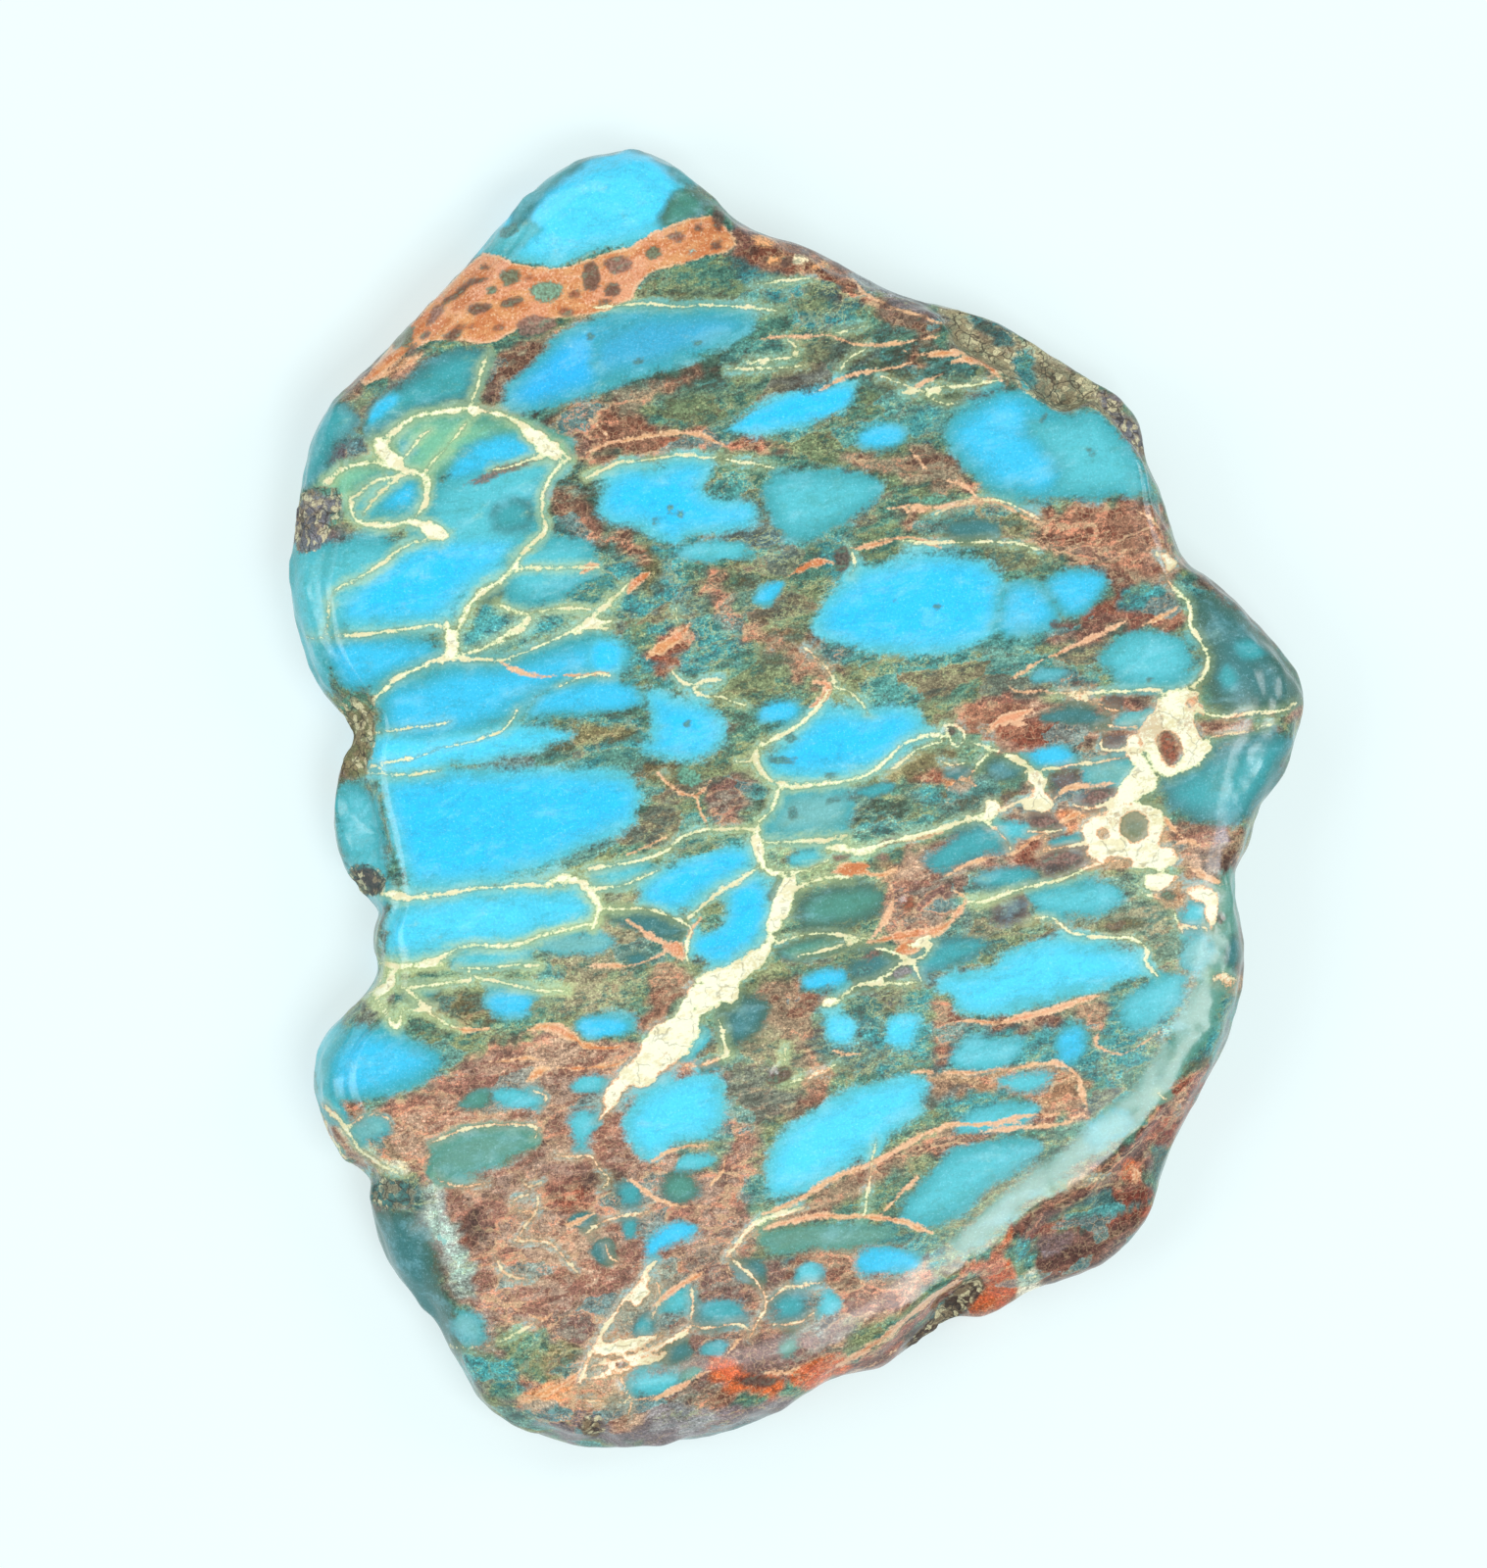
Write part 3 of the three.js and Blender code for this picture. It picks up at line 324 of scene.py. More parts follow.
# Nodules: their tones run from the teal rim to a blue middle.
noduleAreas = [
    ("sage", [1252,880, 1270,900, 1252,1010, 1230,1060, 1170,1140, 1130,1170, 1090,1195, 1050,1225, 985,1282,
      965,1268, 1000,1235, 1140,1125, 1180,1080, 1210,1030, 1228,980, 1232,920]),
    ("turqTeal", [290,552, 340,556, 372,545, 400,552, 420,575, 380,600, 350,640, 335,690, 345,712, 315,700,
      285,640]),
    ("turqTeal", [338,800, 372,800, 392,830, 400,940, 370,930, 345,880]),
    ("turqTeal", [315,1040, 330,1010, 352,1000, 345,1110, 360,1140, 330,1140, 310,1090]),
    ("deepTeal", [372,1236, 420,1236, 440,1262, 446,1300, 476,1372, 440,1380, 400,1340, 378,1290]),
    ("skyPale", [465,268, 485,236, 530,186, 560,160, 600,135, 690,135, 704,175, 702,215, 690,235, 660,248,
      620,255, 575,270, 545,272, 496,258]),
    ("turqTeal", [486,258, 505,232, 530,222, 556,230, 542,250, 515,262]),
    ("teal", [290,512, 296,460, 312,430, 334,408, 358,412, 370,428, 362,448, 342,458, 335,480, 322,500]),
    ("teal", [372,440, 374,415, 410,385, 455,360, 480,352, 497,356, 500,368, 489,385, 481,414, 440,419,
      410,433, 396,444, 380,448]),
    ("turquoise", [375,434, 380,415, 400,398, 414,406, 382,438]),
    ("deepTeal", [448,407, 478,407, 480,413, 464,416, 452,413]),
    ("paleGreen", [398,444, 415,427, 440,417, 470,416, 576,440, 588,455, 580,470, 560,476, 520,462, 450,490,
      435,502, 420,490, 400,482, 394,460]),
    ("paleTeal", [403,458, 412,448, 428,452, 430,464, 412,470]),
    ("turqTeal", [434,512, 450,490, 470,476, 530,455, 560,464, 582,478, 562,492, 552,512, 552,540, 556,565,
      430,566, 418,545, 434,528]),
    ("turquoise", [452,483, 470,462, 495,446, 525,440, 561,466, 520,474, 480,490, 462,493]),
    ("teal", [500,522, 518,506, 543,514, 546,535, 520,547, 502,540]),
    ("paleGreen", [320,502, 330,483, 350,474, 370,474, 396,480, 385,490, 362,502, 358,520, 345,512,
      330,510]),
    ("turqTeal", [360,517, 362,502, 380,491, 405,485, 426,488, 433,500, 429,518, 411,531, 390,533, 370,527]),
    ("turquoise", [385,522, 395,505, 415,492, 427,494, 425,512, 408,526]),
    ("blue", [512,412, 520,388, 580,335, 612,322, 660,316, 720,315, 770,322, 765,342, 700,372, 650,385,
      570,416, 535,422]),
    ("sky", [342,640, 348,610, 405,560, 450,545, 500,543, 535,550, 528,566, 508,586, 482,602, 455,634,
      400,640]),
    ("turquoise", [325,658, 345,648, 440,648, 448,660, 440,676, 365,708, 342,698]),
    ("deepTeal", [486,612, 495,600, 515,594, 512,608, 498,616]),
    ("turquoise", [390,735, 385,705, 430,686, 470,676, 530,672, 580,655, 625,650, 650,660, 640,685, 590,695,
      560,705, 520,735, 480,752, 420,765, 390,768]),
    ("turquoise", [560,700, 620,692, 655,700, 660,728, 560,728, 530,735]),
    ("sky", [392,792, 500,782, 610,782, 645,790, 660,815, 645,848, 530,894, 440,908, 416,905, 388,815]),
    ("skyPale", [390,958, 396,932, 430,918, 480,910, 540,905, 580,905, 602,918, 600,936, 565,950, 520,960,
      460,966, 425,976, 400,975]),
    ("sky", [602,650, 640,655, 630,690, 600,688]),
    ("sky", [606,512, 614,494, 630,478, 655,474, 668,480, 690,470, 718,468, 726,482, 716,500, 738,510,
      760,508, 776,516, 770,538, 740,547, 705,546, 690,560, 675,556, 660,540, 625,536, 608,525]),
    ("turqTeal", [778,495, 792,484, 830,480, 870,480, 900,490, 900,510, 850,545, 815,550, 792,545, 782,520]),
    ("turqTeal", [690,562, 720,552, 765,554, 775,566, 745,574, 700,574]),
    ("turquoise", [766,614, 778,598, 800,590, 803,606, 786,618]),
    ("sky", [738,440, 760,420, 790,406, 830,393, 865,390, 876,402, 865,418, 832,434, 790,444, 755,446]),
    ("turquoise", [872,445, 885,434, 910,432, 926,442, 918,456, 895,462, 876,456]),
    ("sky", [828,645, 838,615, 860,592, 890,575, 935,564, 985,562, 1018,575, 1026,605, 1022,640, 1005,658,
      960,668, 900,668, 855,658]),
    ("turquoise", [1018,600, 1040,592, 1070,600, 1082,625, 1070,645, 1012,655]),
    ("turquoise", [1062,602, 1072,584, 1098,574, 1128,580, 1132,596, 1118,618, 1098,630, 1080,626]),
    ("sky", [648,765, 668,750, 655,708, 668,702, 690,712, 718,716, 738,732, 742,752, 728,772, 700,780,
      672,776]),
    ("turquoise", [768,735, 774,718, 795,711, 818,718, 815,734, 795,742]),
    ("sky", [780,788, 788,770, 826,730, 850,720, 885,728, 905,716, 930,720, 944,738, 936,754, 890,788,
      850,796, 812,799]),
    ("turquoise", [962,455, 965,430, 990,412, 1030,390, 1085,425, 1115,415, 1140,438, 1166,478, 1176,505,
      1100,512, 1060,512, 1015,504, 988,482]),
    ("deepTeal", [960,540, 972,530, 1000,527, 1022,535, 1012,546, 980,550]),
    ("turqTeal", [1115,672, 1128,658, 1150,644, 1185,645, 1212,654, 1220,676, 1208,694, 1180,703, 1150,700,
      1128,686]),
    ("deepTeal", [1215,600, 1255,612, 1300,655, 1326,690, 1328,712, 1290,725, 1240,722, 1228,700, 1234,668,
      1222,640]),
    ("teal", [1250,655, 1275,648, 1298,662, 1288,676, 1262,676]),
    ("teal", [1238,690, 1250,674, 1266,684, 1262,706, 1245,708]),
    ("teal", [1186,805, 1205,784, 1235,768, 1275,752, 1322,746, 1318,775, 1284,830, 1250,842, 1215,840,
      1192,825]),
    ("teal", [1048,690, 1068,680, 1092,682, 1078,694, 1055,698]),
    ("deepTeal", [1052,735, 1070,722, 1105,720, 1138,738, 1110,741]),
    ("paleTeal", [1138,736, 1150,726, 1175,724, 1170,738, 1150,742]),
    ("turquoise", [1045,772, 1055,762, 1078,759, 1096,768, 1092,780, 1065,784]),
    ("deepTeal", [1002,790, 1008,776, 1028,771, 1048,780, 1042,793, 1018,796]),
    ("paleTeal", [1102,795, 1112,780, 1140,776, 1158,784, 1145,800, 1118,803]),
    ("teal", [940,888, 952,864, 975,850, 1000,842, 1016,852, 1028,866, 985,880, 962,892]),
    ("turqTeal", [1008,850, 1020,840, 1050,842, 1052,852, 1030,858, 1012,856]),
    ("turqTeal", [1045,920, 1065,904, 1100,898, 1145,903, 1150,918, 1120,934, 1075,938]),
    ("teal", [932,985, 942,966, 975,955, 1012,958, 1010,970, 945,995]),
    ("turqTeal", [1203,932, 1212,920, 1226,920, 1231,932, 1222,942, 1208,942]),
    ("skyPale", [952,1008, 965,990, 1005,988, 1022,972, 1055,956, 1095,955, 1158,972, 1172,988, 1150,1002,
      1010,1040, 982,1036, 968,1016]),
    ("turqTeal", [1142,1030, 1160,1008, 1195,990, 1215,1000, 1200,1030, 1165,1052, 1145,1048]),
    ("turqTeal", [968,1075, 985,1056, 1015,1058, 1045,1055, 1045,1072, 1025,1090, 985,1096, 968,1090]),
    ("turquoise", [1072,1068, 1078,1048, 1098,1040, 1112,1055, 1108,1078, 1090,1090, 1075,1085]),
    ("turqTeal", [1012,1104, 1030,1094, 1060,1090, 1078,1100, 1060,1112, 1030,1114]),
    ("turqTeal", [972,1148, 990,1130, 1030,1122, 1065,1128, 1050,1145, 1010,1156, 980,1158]),
    ("turqTeal", [912,1240, 948,1190, 968,1172, 1005,1162, 1050,1156, 1068,1168, 1050,1190, 1015,1208,
      990,1235, 955,1252, 925,1254]),
    ("sky", [660,925, 652,912, 668,895, 690,880, 720,868, 750,862, 768,870, 758,888, 705,922, 680,930]),
    ("turqTeal", [604,898, 612,887, 668,880, 650,897, 620,908]),
    ("deepTeal", [618,930, 645,928, 680,934, 698,948, 686,960, 655,954, 632,942]),
    ("sky", [702,968, 712,952, 735,942, 744,925, 742,908, 765,893, 782,898, 786,915, 780,950, 765,970,
      742,986, 720,982]),
    ("paleTeal", [780,850, 790,822, 806,806, 850,802, 876,812, 862,850, 820,857]),
    ("teal", [864,808, 885,802, 914,800, 910,810, 880,813]),
    ("turqTeal", [800,878, 812,868, 840,866, 838,875, 815,882]),
    ("green", [815,938, 818,918, 845,905, 890,900, 908,912, 895,935, 850,948, 822,948]),
    ("deepTeal", [782,915, 790,902, 812,902, 805,917, 790,922]),
    ("green", [790,973, 810,962, 850,956, 872,960, 812,980]),
    ("turquoise", [814,1003, 824,990, 855,983, 870,992, 855,1006, 828,1013]),
    ("deepTeal", [858,988, 875,970, 900,968, 920,982, 905,994, 875,1002]),
    ("skyPale", [840,1050, 845,1036, 865,1034, 875,1048, 868,1064, 852,1066]),
    ("skyPale", [902,1062, 904,1046, 918,1034, 936,1036, 942,1050, 930,1066, 912,1070]),
    ("deepTeal", [738,1052, 738,1034, 752,1018, 775,1012, 786,1024, 776,1050, 758,1066, 744,1064]),
    ("turqTeal", [686,1064, 700,1052, 722,1052, 724,1064, 705,1076, 690,1074]),
    ("deepTeal", [713,1086, 722,1078, 738,1082, 732,1092, 718,1094]),
    ("turqTeal", [600,1050, 604,1038, 625,1030, 650,1036, 652,1048, 625,1060]),
    ("deepTeal", [634,976, 645,966, 664,970, 662,984, 645,988]),
    ("paleTeal", [540,962, 570,952, 612,950, 632,960, 612,974, 565,976]),
    ("turqTeal", [460,975, 490,965, 545,966, 540,982, 495,988, 466,986]),
    ("turquoise", [492,1022, 505,1008, 535,1008, 550,1020, 538,1038, 508,1040]),
    ("turquoise", [584,1046, 596,1034, 630,1034, 646,1044, 632,1058, 600,1058]),
    ("green", [412,1012, 425,1004, 448,1006, 446,1020, 425,1024]),
    ("turquoise", [330,1112, 332,1080, 352,1048, 378,1042, 450,1072, 455,1090, 425,1106, 385,1122,
      350,1126]),
    ("paleTeal", [358,1160, 365,1145, 385,1140, 396,1146, 390,1160, 370,1166]),
    ("sage", [432,1195, 440,1172, 465,1155, 500,1150, 545,1153, 547,1166, 528,1184, 500,1190, 480,1200,
      448,1204]),
    ("turqTeal", [500,1118, 508,1108, 530,1108, 555,1118, 548,1130, 520,1131]),
    ("turqTeal", [580,1108, 590,1097, 612,1096, 620,1106, 606,1116, 588,1116]),
    ("turqTeal", [578,1150, 584,1132, 602,1130, 610,1148, 602,1168, 586,1168]),
    ("skyPale", [636,1155, 640,1130, 655,1115, 680,1100, 712,1092, 736,1098, 742,1122, 740,1146, 722,1162,
      700,1164, 680,1172, 665,1184, 648,1175]),
    ("skyPale", [778,1205, 788,1168, 815,1138, 860,1112, 905,1098, 946,1096, 950,1115, 928,1146, 850,1202,
      808,1220, 785,1222]),
    ("turquoise", [654,1278, 660,1262, 674,1250, 692,1242, 710,1246, 714,1256, 700,1266, 680,1273,
      665,1284]),
    ("sage", [772,1262, 800,1250, 860,1245, 905,1250, 918,1262, 880,1270, 820,1276, 785,1276]),
    ("turquoise", [868,1288, 878,1272, 910,1268, 942,1278, 938,1296, 905,1302, 880,1300]),
    ("teal", [808,1300, 818,1290, 842,1292, 838,1306, 818,1308]),
    ("paleTeal", [1105,1160, 1115,1138, 1145,1128, 1160,1138, 1140,1160, 1115,1172]),
    ("teal", [520,198, 548,162, 600,130, 650,124, 700,142, 722,186, 700,196, 672,160, 620,152, 584,176,
      548,214, 520,236]),
    ("green", [672,225, 690,185, 712,198, 728,215, 672,242]),
    ("green", [464,1128, 480,1110, 502,1106, 502,1130, 480,1133]),
    ("deepTeal", [575,1246, 585,1235, 602,1235, 610,1245, 600,1253, 584,1253]),
    ("deepTeal", [602,1270, 618,1262, 628,1278, 618,1292, 604,1284]),
    ("teal", [633,1252, 640,1240, 652,1244, 650,1260, 638,1264]),
    ("turqTeal", [688,1190, 695,1176, 720,1175, 732,1182, 720,1192, 700,1196]),
    ("green", [672,1212, 682,1196, 704,1192, 714,1210, 704,1228, 684,1226]),
    ("teal", [628,1212, 640,1204, 656,1214, 652,1228, 636,1228]),
    ("darkMauve", [1096,822, 1102,811, 1118,804, 1140,805, 1139,814, 1104,827]),
    ("darkMauve", [1050,842, 1054,833, 1070,831, 1082,840, 1078,848, 1060,848]),
    ("darkMauve", [1062,884, 1075,873, 1104,862, 1109,872, 1100,885, 1086,893, 1068,894]),
    ("darkMauve", [1005,940, 1015,925, 1040,915, 1050,922, 1046,938, 1025,944]),
    ("mauve", [1122,758, 1126,749, 1146,748, 1150,757, 1140,762]),
    ("rust", [1120,718, 1132,710, 1148,712, 1144,722, 1130,724]),
    ("mauve", [1072,798, 1078,786, 1096,784, 1100,796, 1090,808, 1076,808]),
    ("teal", [1130,772, 1136,763, 1158,763, 1160,770, 1144,776]),
    ("beige", [1143,848, 1142,834, 1150,824, 1166,820, 1177,830, 1178,842, 1170,852, 1158,859]),
    ("teal", [1068,864, 1075,856, 1104,850, 1102,859, 1082,864]),
    ("deepTeal", [1247,970, 1252,954, 1262,954, 1268,970, 1262,990, 1250,988]),
    ("deepTeal", [960,794, 975,786, 990,784, 992,792, 975,800]),
    ("teal", [990,900, 1005,888, 1040,882, 1062,890, 1050,904, 1015,908]),
    ("paleTeal", [1200,975, 1205,958, 1228,950, 1238,965, 1235,990, 1212,995]),
    ("paleTeal", [458,1352, 466,1338, 484,1338, 498,1352, 494,1368, 474,1370]),
    ("turqTeal", [678,1340, 679,1324, 690,1314, 702,1314, 705,1328, 694,1342]),
    ("teal", [712,1346, 716,1328, 738,1320, 762,1330, 758,1348, 734,1352]),
    ("teal", [646,1360, 650,1346, 662,1340, 668,1352, 660,1364]),
    ("deepTeal", [678,1386, 682,1372, 700,1366, 708,1376, 700,1388]),
    ("teal", [711,1382, 716,1368, 740,1366, 742,1378, 728,1384]),
    ("turqTeal", [644,1418, 650,1400, 680,1396, 696,1404, 690,1420, 664,1426]),
    ("green", [690,1412, 692,1398, 712,1392, 722,1400, 708,1412]),
    ("teal", [790,1344, 790,1324, 812,1316, 824,1330, 814,1346]),
    ("turqTeal", [836,1342, 838,1322, 852,1316, 860,1330, 850,1344]),
    ("turqTeal", [812,1306, 816,1290, 834,1288, 838,1302, 824,1310]),
    ("deepTeal", [750,1304, 756,1284, 776,1282, 786,1296, 776,1308]),
    ("green", [793,1382, 796,1364, 814,1360, 818,1376, 806,1386]),
    ("turqTeal", [1035,424, 1085,425, 1115,415, 1140,438, 1166,478, 1176,505, 1100,512, 1066,508, 1078,480,
      1052,452]),
    ("skyPale", [380,748, 430,752, 500,742, 560,738, 592,745, 570,760, 470,782, 400,792, 378,790]),
    ("deepSky", [600,342, 640,322, 718,317, 768,325, 762,343, 622,394, 602,382]),
    ("turqTeal", [520,556, 560,550, 602,548, 612,585, 575,612, 530,620, 512,604]),
]
# Cream veins on the chart: half width at the middle, then the x, y pairs of each vein that wide.
creamLines = [
    # upper left
    (6.1, [456,636, 461,650, 462,668, 450,676]), (1.2, [455,640, 440,637, 430,642, 312,653]),
    (2.2, [450,672, 410,690, 368,722]), (1.3, [462,674, 490,672, 510,675, 595,642, 648,590]),
    (4.1, [588,648, 600,638, 622,634]), (1.2, [435,550, 410,558, 370,588, 350,597, 340,605, 330,648]),
    (1.1, [508,617, 525,627, 545,628, 535,640, 515,653, 478,668], [515,585, 540,580, 560,580], [545,625,
      575,622, 600,622], [370,750, 430,742, 460,735], [375,785, 505,750, 520,740, 527,725], [370,788,
      400,790, 450,788], [570,700, 600,688, 622,690]),
    # left, below the largest nodule
    (1.6, [418,917, 500,904, 555,902]), (4.4, [386,914, 402,912, 420,917]),
    (3.4, [548,903, 575,895, 590,898, 612,920, 610,935, 605,946]),
    (1.6, [605,940, 565,952, 540,963, 520,965, 490,963, 470,965, 440,980, 400,990, 385,1000]),
    (2.4, [384,982, 402,986, 452,984]), (5.4, [400,992, 398,1006, 386,1012, 376,1012]),
    (2.4, [382,1018, 396,1030, 398,1045, 406,1050, 411,1036]),
    (1.1, [412,1008, 450,1042, 470,1048], [412,1030, 428,1032, 440,1028], [412,1010, 450,1005, 480,1000],
      [480,993, 495,1000, 540,1008, 580,1010], [470,988, 510,986, 550,985]),
    # lower left
    (1.2, [352,1158, 362,1144, 382,1136, 398,1142, 400,1152]),
    (2.4, [328,1126, 345,1140, 360,1165, 380,1184, 412,1200]),
    (1.2, [322,1130, 332,1155, 352,1182, 372,1198]),
    # along the foot
    (2.4, [740,1280, 765,1252, 780,1242, 820,1230]), (1.1, [893,1160, 887,1200, 880,1240]),
    # upper middle
    (1.1, [605,312, 770,314, 800,318], [770,290, 800,286, 830,285], [850,343, 865,336, 880,332], [800,345,
      815,355, 810,362], [855,383, 860,370, 885,355], [740,378, 800,377, 820,373], [760,370, 790,367,
      820,363], [900,385, 920,395, 960,405]), (1.4, [920,402, 985,395, 1018,388]),
    (1.1, [945,405, 960,415, 985,412], [600,490, 615,480, 635,472, 690,465, 715,465, 790,478], [603,632,
      622,610, 632,605], [600,640, 612,643, 620,642], [868,557, 875,580, 865,588]),
    (2.4, [844,684, 848,692, 850,702]), (1.1, [850,703, 860,702, 880,718, 885,728]),
    (1.3, [820,660, 835,672, 845,682], [685,683, 695,695, 705,700, 720,693, 735,692]),
    (1.1, [690,620, 695,640, 697,648], [705,700, 715,710, 735,708, 760,720], [740,712, 750,715, 760,718]),
    (1.9, [845,705, 832,725, 808,745, 782,757, 775,765]), (3.7, [776,758, 771,768, 776,792, 786,799]),
    (2.0, [786,798, 800,803, 815,804, 870,796, 890,790, 910,768, 940,750, 955,748, 968,752]),
    (1.2, [900,790, 915,783, 930,768, 945,760, 960,757]), (1.1, [750,777, 760,779, 772,778]),
    (1.2, [963,738, 975,738, 983,745, 983,755, 978,765, 970,760, 963,738]),
    # right
    (1.2, [955,525, 975,515, 1000,510, 1030,512, 1060,530]),
    (1.1, [920,553, 940,555, 1000,551, 1030,553, 1060,560]), (4.1, [1182,566, 1192,566, 1196,578, 1186,586]),
    (2.0, [1188,590, 1200,605, 1214,616, 1211,640, 1230,660, 1233,675, 1228,690, 1215,700, 1185,712]),
    (1.4, [1218,720, 1230,728, 1245,732, 1305,725, 1330,714]), (1.1, [1230,755, 1290,742, 1300,735]),
    (1.6, [1045,943, 1060,937, 1075,938, 1085,948, 1100,955, 1140,955, 1160,958, 1170,970, 1165,978,
      1180,998]), (4.8, [928,964, 938,962, 948,954]), (2.4, [1238,1000, 1250,994, 1258,1004]),
    # the wide diagonal vein and what leaves it
    (7.9, [806,914, 790,940, 786,956]), (6.6, [790,955, 758,996]),
    (8.5, [760,992, 744,998, 726,996, 714,1000]), (5.3, [748,1000, 752,1014, 738,1020]),
    (6.2, [714,1000, 696,1034, 692,1052]), (5.3, [738,1020, 718,1026, 700,1054]),
    (7.5, [690,1050, 650,1098]), (8.5, [664,1076, 616,1124]), (4.4, [640,1108, 622,1126, 610,1142]),
    (1.6, [600,887, 680,872, 695,855, 710,848, 745,843, 775,845]),
    (1.9, [772,838, 785,830, 795,805, 800,800]), (4.4, [772,842, 775,874, 782,888]),
    (3.4, [776,878, 786,890, 800,896]), (1.2, [600,905, 630,908, 672,888]),
    (1.3, [615,928, 650,926, 690,935, 705,945]), (1.6, [700,940, 705,930, 772,885]),
    (2.0, [706,950, 700,962, 700,980, 706,990]), (1.2, [677,792, 679,793]),
    (1.6, [838,868, 850,862, 865,860, 870,870, 885,872, 895,870]),
    (1.3, [775,885, 800,892, 830,885, 845,878]), (1.4, [775,858, 830,858, 862,852]),
    (1.1, [790,962, 810,955, 840,952, 900,957], [815,975, 840,970, 860,962, 880,958]),
    (1.6, [925,980, 900,998, 880,1000, 865,1008, 848,1028, 840,1028]), (4.8, [840,1024, 848,1022, 854,1020]),
    (1.1, [890,1003, 920,1003, 935,1002], [925,985, 940,975, 950,962]),
    (1.9, [735,1040, 738,1060, 745,1075, 735,1081, 715,1085]), (2.7, [828,1096, 840,1094, 850,1090]),
    (1.1, [800,1105, 830,1100, 840,1090, 860,1085]), (1.2, [800,1070, 801,1078, 800,1085]),
    (1.8, [805,898, 812,906, 806,915]),
    # right of the middle, below the oval
    (1.6, [985,920, 1000,921, 1085,895, 1100,888, 1140,878]), (1.1, [990,760, 1010,762, 1056,787]),
    (1.4, [1045,787, 1085,783, 1100,778, 1120,778, 1156,772]),
    (1.5, [985,833, 1003,840, 1012,830, 1025,826, 1040,815, 1056,812]),
    (1.1, [1003,840, 1025,855, 1029,866], [1060,873, 1080,867, 1106,860], [1066,854, 1064,864, 1072,868]),
    (1.2, [1075,708, 1185,703]),
    (1.1, [1118,716, 1130,724, 1146,724], [1118,742, 1128,738, 1150,742, 1160,740], [1124,750, 1122,762,
      1130,764, 1160,762], [1000,742, 1010,748], [1084,708, 1100,714, 1118,718], [960,778, 972,784, 984,780],
      [1196,925, 1198,940, 1204,950], [1165,912, 1182,916, 1196,925], [1204,942, 1216,946, 1232,946],
      [1095,822, 1110,826, 1132,820, 1140,812], [1048,850, 1070,850, 1082,846], [525,1266, 552,1230,
      550,1222], [522,1228, 528,1220, 540,1220], [522,1230, 530,1236, 545,1234], [525,1266, 545,1264,
      560,1268, 578,1280, 590,1300]), (1.4, [600,1258, 618,1242, 660,1235]),
    (1.1, [440,1165, 460,1152, 540,1143, 550,1150, 546,1160], [568,1178, 585,1180, 602,1175, 610,1190,
      622,1200, 620,1208, 612,1212], [445,1200, 455,1208, 478,1210, 500,1206], [532,1202, 540,1210,
      552,1206], [545,1110, 560,1118, 552,1128], [505,1280, 515,1300, 540,1305], [618,1270, 622,1282,
      632,1286], [1180,1116, 1194,1124, 1206,1134], [1070,1214, 1100,1204, 1130,1200], [1236,994, 1250,1002,
      1262,1000], [1040,1300, 1052,1310, 1060,1300]), (1.2, [500,360, 485,396, 483,412]),
    (2.4, [486,414, 430,425, 415,433, 392,452]), (2.0, [398,470, 412,481, 434,485, 441,495, 438,506]),
    (2.3, [484,415, 530,431, 583,470]), (1.6, [584,470, 567,480, 557,495, 552,514, 560,545, 540,562]),
    (2.4, [326,500, 350,478, 372,472, 390,473, 406,480]),
    (2.0, [358,508, 358,521, 365,532, 385,538, 405,538, 420,533]), (1.4, [362,506, 380,494, 416,484]),
    (1.6, [432,490, 437,505, 432,520, 424,531]), (3.4, [404,536, 422,534, 456,546]),
    (1.1, [372,522, 385,505, 405,492]), (1.2, [434,484, 465,450, 476,432]),
    (1.1, [408,470, 424,456, 440,440]), (2.0, [306,516, 314,508, 324,500]),
    (1.1, [498,482, 520,478, 545,468, 562,466]),
    # foot
    (2.0, [590,1418, 608,1368, 656,1302, 670,1288]), (2.6, [606,1392, 650,1382, 672,1374, 706,1352]),
    (2.2, [612,1370, 628,1372, 645,1366, 660,1366, 676,1358]),
    (1.8, [600,1404, 616,1404, 636,1398, 650,1390], [632,1400, 644,1430, 640,1446]),
    (1.2, [706,1352, 730,1354, 752,1350, 766,1358]),
    (1.4, [764,1366, 774,1351, 784,1327, 764,1299, 746,1280]),
    (1.2, [668,1306, 676,1318, 672,1334, 666,1344], [706,1312, 708,1332, 706,1350], [784,1327, 800,1312,
      820,1312, 838,1308], [790,1350, 812,1352, 830,1340], [454,1373, 480,1376, 500,1373, 528,1361,
      548,1345], [590,1424, 606,1430, 622,1428, 636,1432]), (2.4, [556,543, 524,582, 483,611, 460,655]),
    (1.2, [525,582, 612,580], [510,617, 533,628, 567,622, 601,622], [542,628, 516,649, 491,662, 466,670]),
    (2.2, [843,863, 870,868, 905,862, 1005,831]), (2.0, [810,913, 820,900, 843,893, 870,897]),
    (1.6, [893,967, 933,977, 940,1000]), (1.8, [985,800, 1003,770, 1015,766, 1030,768, 1050,780]),
]

